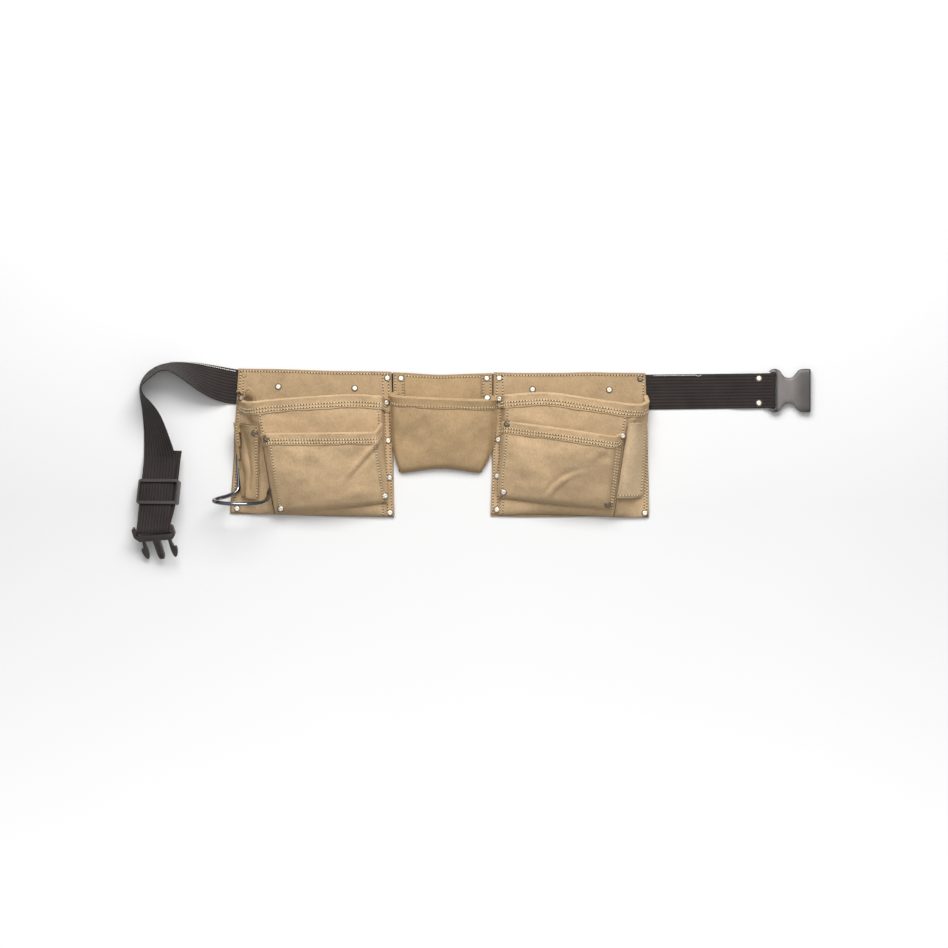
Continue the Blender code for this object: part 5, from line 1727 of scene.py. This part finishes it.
def stage(finish):
    """A pale floor, a big light from above the belt's top edge, a weak one overhead, and the camera."""
    corners = ((-1, -1), (1, -1), (1, 1), (-1, 1))
    points = [(x * FLOOR_REACH, y * FLOOR_REACH, FLOOR_LEVEL) for x, y in corners]
    floor = mesh_piece("studio_floor", points, [(0, 1, 2, 3)], finish)
    area_light("key", (0.05, 1.40, 1.65), (1.7, 1.0), 48.0, aim=(0.0, -0.02, 0.0))
    area_light("top", (0.10, 0.35, 2.6), (1.8, 1.4), 9.0)
    studio_world()
    bpy.context.scene.view_settings.view_transform = "Standard"
    camera = bpy.data.cameras.new("camera")
    camera.lens = VIEW_LENS
    camera.sensor_width = VIEW_SENSOR
    distance = VIEW_WIDTH * VIEW_LENS / VIEW_SENSOR
    camera.clip_end = 100.0
    obj = bpy.data.objects.new("camera", camera)
    obj.location = (*VIEW_CENTRE, distance + VIEW_LEVEL)
    bpy.context.scene.collection.objects.link(obj)
    bpy.context.scene.camera = obj


# ---------------------------------------------------------------- rivets in place

# (name, x, y, body, CAD node that it stands for).
RIVETS = [
    ("left_band_1", -320.0, 122.0, "left_bag", "left_band_rivet_1"),
    ("left_band_2", -272.6, 104.7, "left_bag", "left_band_rivet_2"),
    ("left_band_3", -165.3, 102.6, "left_bag", "left_band_rivet_3"),
    ("left_band_4", -119.5, 117.0, "left_bag", "left_band_rivet_4"),
    ("left_hem_right", -120.3, 82.5, "left_bag", None),
    ("left_inner_1", -118.2, 29.1, "left_bag", "left_inner_rivet_1"),
    ("left_inner_2", -116.6, -22.8, "left_bag", "left_inner_rivet_2"),
    ("left_outer_low_right", -122.1, -48.3, "left_bag", None),
    ("left_low_right", -115.6, -71.8, "left_bag", None),
    ("left_outer_low_left", -268.4, -66.2, "left_bag", None),
    ("left_low_left", -330.3, -66.2, "left_bag", None),
    ("left_outer_hem_left", -287.6, 31.8, "left_bag", None),
    ("left_gusset", -304.1, 39.5, "left_bag", None),
    ("left_hem_left", -323.5, 88.5, "left_bag", None),
    ("right_band_1", 37.5, 117.0, "right_bag", "right_band_rivet_1"),
    ("right_band_2", 84.3, 100.8, "right_bag", "right_band_rivet_2"),
    ("right_band_3", 192.0, 100.3, "right_bag", "right_band_rivet_3"),
    ("right_band_4", 235.5, 116.0, "right_bag", "right_band_rivet_4"),
    ("right_hem_left", 37.5, 87.6, "right_bag", None),
    ("right_inner_1", 36.0, 30.5, "right_bag", "right_inner_rivet_1"),
    ("right_inner_2", 34.3, -20.4, "right_bag", "right_inner_rivet_2"),
    ("right_outer_low_left", 43.4, -43.0, "right_bag", None),
    ("right_low_left", 33.9, -67.6, "right_bag", None),
    ("right_outer_hem_left", 48.3, 52.8, "right_bag", None),
    ("right_outer_hem_right", 209.7, 35.7, "right_bag", None),
    ("right_outer_low_right", 189.1, -60.2, "right_bag", None),
    ("right_low_right", 241.8, -72.5, "right_bag", None),
    ("centre_left", -100.5, 116.5, "centre", "centre_rivet_left"),
    ("centre_right", 20.0, 116.5, "centre", "centre_rivet_right"),
    ("centre_hem_right", 20.6, 89.0, "centre", None),
    ("strap_upper", 402.0, 116.5, "right_strap", "strap_rivet_upper"),
    ("strap_lower", 402.0, 82.0, "right_strap", "strap_rivet_lower"),
]


# Rivets whose caps the leather's dressing has covered, and those that sit in shadow, which get a darker metal
# as painted shade.
COVERED_RIVETS = ("left_band_1",)
SHADED_RIVETS = (
    "left_outer_hem_left",
    "left_gusset",
    "left_hem_left",
    "right_outer_hem_left",
    "right_outer_low_right",
    "right_band_4",
)


def rivets(grounds, bright, shade_finish, covered, rivet_shadow):
    finishes = dict.fromkeys(SHADED_RIVETS, shade_finish) | dict.fromkeys(COVERED_RIVETS, covered)
    for name, x, y, body, node_name in RIVETS:
        place, normal = grounds[body].settled(x, y)
        cap = rivet_cap(f"rivet_{name}", place + normal * 0.25, normal, finishes.get(name, bright))
        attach(cap, body)
        if node_name:
            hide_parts(node_name)
        if name not in COVERED_RIVETS:
            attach(rivet_seat(f"rivet_seat_{name}", place, normal, rivet_shadow), body)


# The female shell's painted shade and reflection along its length: a painted shadow in the slot by the bar, a
# painted highlight over the middle, then darker toward the mouth.
SHELL_PAINTED_SHADE_AND_REFLECTION = (
    (0.4240, 0.8), (0.4252, 0.10), (0.4284, 0.12), (0.4296, 1.1), (0.448, 1.1), (0.462, 0.42), (0.474, 0.30),
)


def main():
    # The pockets' suede is a lighter copy with painted light and the back panels' a darker copy with painted
    # shade, so the flat backs and the sloping fronts come out alike under the key light.
    suede = suede_material("split_suede", (0.575, 0.409, 0.243), 1)
    back_suede_painted_shade = suede_material("split_suede_back_painted_shade", (0.480, 0.340, 0.200), 5)
    centre_suede = suede_material("split_suede_centre", (0.475, 0.331, 0.184), 2)
    holder_suede = suede_material("split_suede_holder", (0.460, 0.325, 0.185), 3)
    sleeve_suede = suede_material("split_suede_sleeve", (0.620, 0.465, 0.295), 4)
    thread = thread_material()
    pale_thread = mottled_material(
        "white_thread", 1500.0, 2.0, (0.35, (0.52, 0.50, 0.47)), (0.6, (0.80, 0.78, 0.74)), 0.7
    )
    # Dark discs for the needle holes: painted shade.
    hole_shade = mottled_material(
        "needle_hole_painted_shade", 300.0, 2.0, (0.3, (0.045, 0.026, 0.012)), (0.7, (0.11, 0.068, 0.034)), 1.0
    )
    webbing = web_material()
    plastic = plastic_material("moulded_grey_plastic", (0.042, 0.034, 0.032), (0.068, 0.056, 0.053))
    # The shell is a lighter copy of the buckles' plastic: painted reflection of the overhead light.
    shell_lit_colours = ((0.125, 0.108, 0.102), (0.175, 0.155, 0.148))
    shell_plastic_painted_light = plastic_material("moulded_shell_painted_light", *shell_lit_colours, SHELL_PAINTED_SHADE_AND_REFLECTION)
    # A dark ring round each rivet: painted contact shadow.
    rivet_shadow = mottled_material(
        "rivet_contact_shadow", 700.0, 3.0, (0.35, (0.055, 0.042, 0.034)), (0.65, (0.17, 0.12, 0.075)), 0.8
    )
    nickel = metal_material("plated_nickel", (0.95, 0.90, 0.78), 0.52, 0.12)
    # A darker copy of the nickel: painted shade for rivets that sit in shadow.
    nickel_in_painted_shade = metal_material("nickel_painted_shade", (0.30, 0.25, 0.18), 0.50, 0.2)
    chrome = metal_material("polished_chrome", (0.27, 0.27, 0.29), 0.06, 0.10)

    stage(floor_material())
    left, right = left_bag((back_suede_painted_shade, suede)), right_bag((back_suede_painted_shade, suede))
    holder(left, holder_suede)
    square_sleeve(right, sleeve_suede)
    centre_pieces, centre_rows = centre(centre_suede)
    loop = wire("steel_hammer_loop", HAMMER_LOOP_ROUTE, WIRE_RADIUS, chrome)
    fasten(loop, "left_bag", "chrome", "hammer_loop")

    stitching = {}
    web_pieces = webs(webbing, stitching)
    female_buckle(shell_plastic_painted_light)
    male_buckle(plastic)
    buckle_arm("left", -1, plastic)
    buckle_arm("right", 1, plastic)
    tri_glide(plastic)

    grounds = {
        "left_bag": Ground(left.pieces),
        "right_bag": Ground(right.pieces),
        "centre": Ground(centre_pieces),
        "right_strap": Ground([web_pieces["web_right_strap"]]),
    }
    rivets(grounds, nickel, nickel_in_painted_shade, holder_suede, rivet_shadow)
    left.rows.make("left_bag", thread, hole_shade)
    right.rows.make("right_bag", thread, hole_shade)
    centre_rows.make("centre", thread, hole_shade)
    for body, rows in stitching.items():
        rows.make(body, pale_thread, hole_shade)


main()
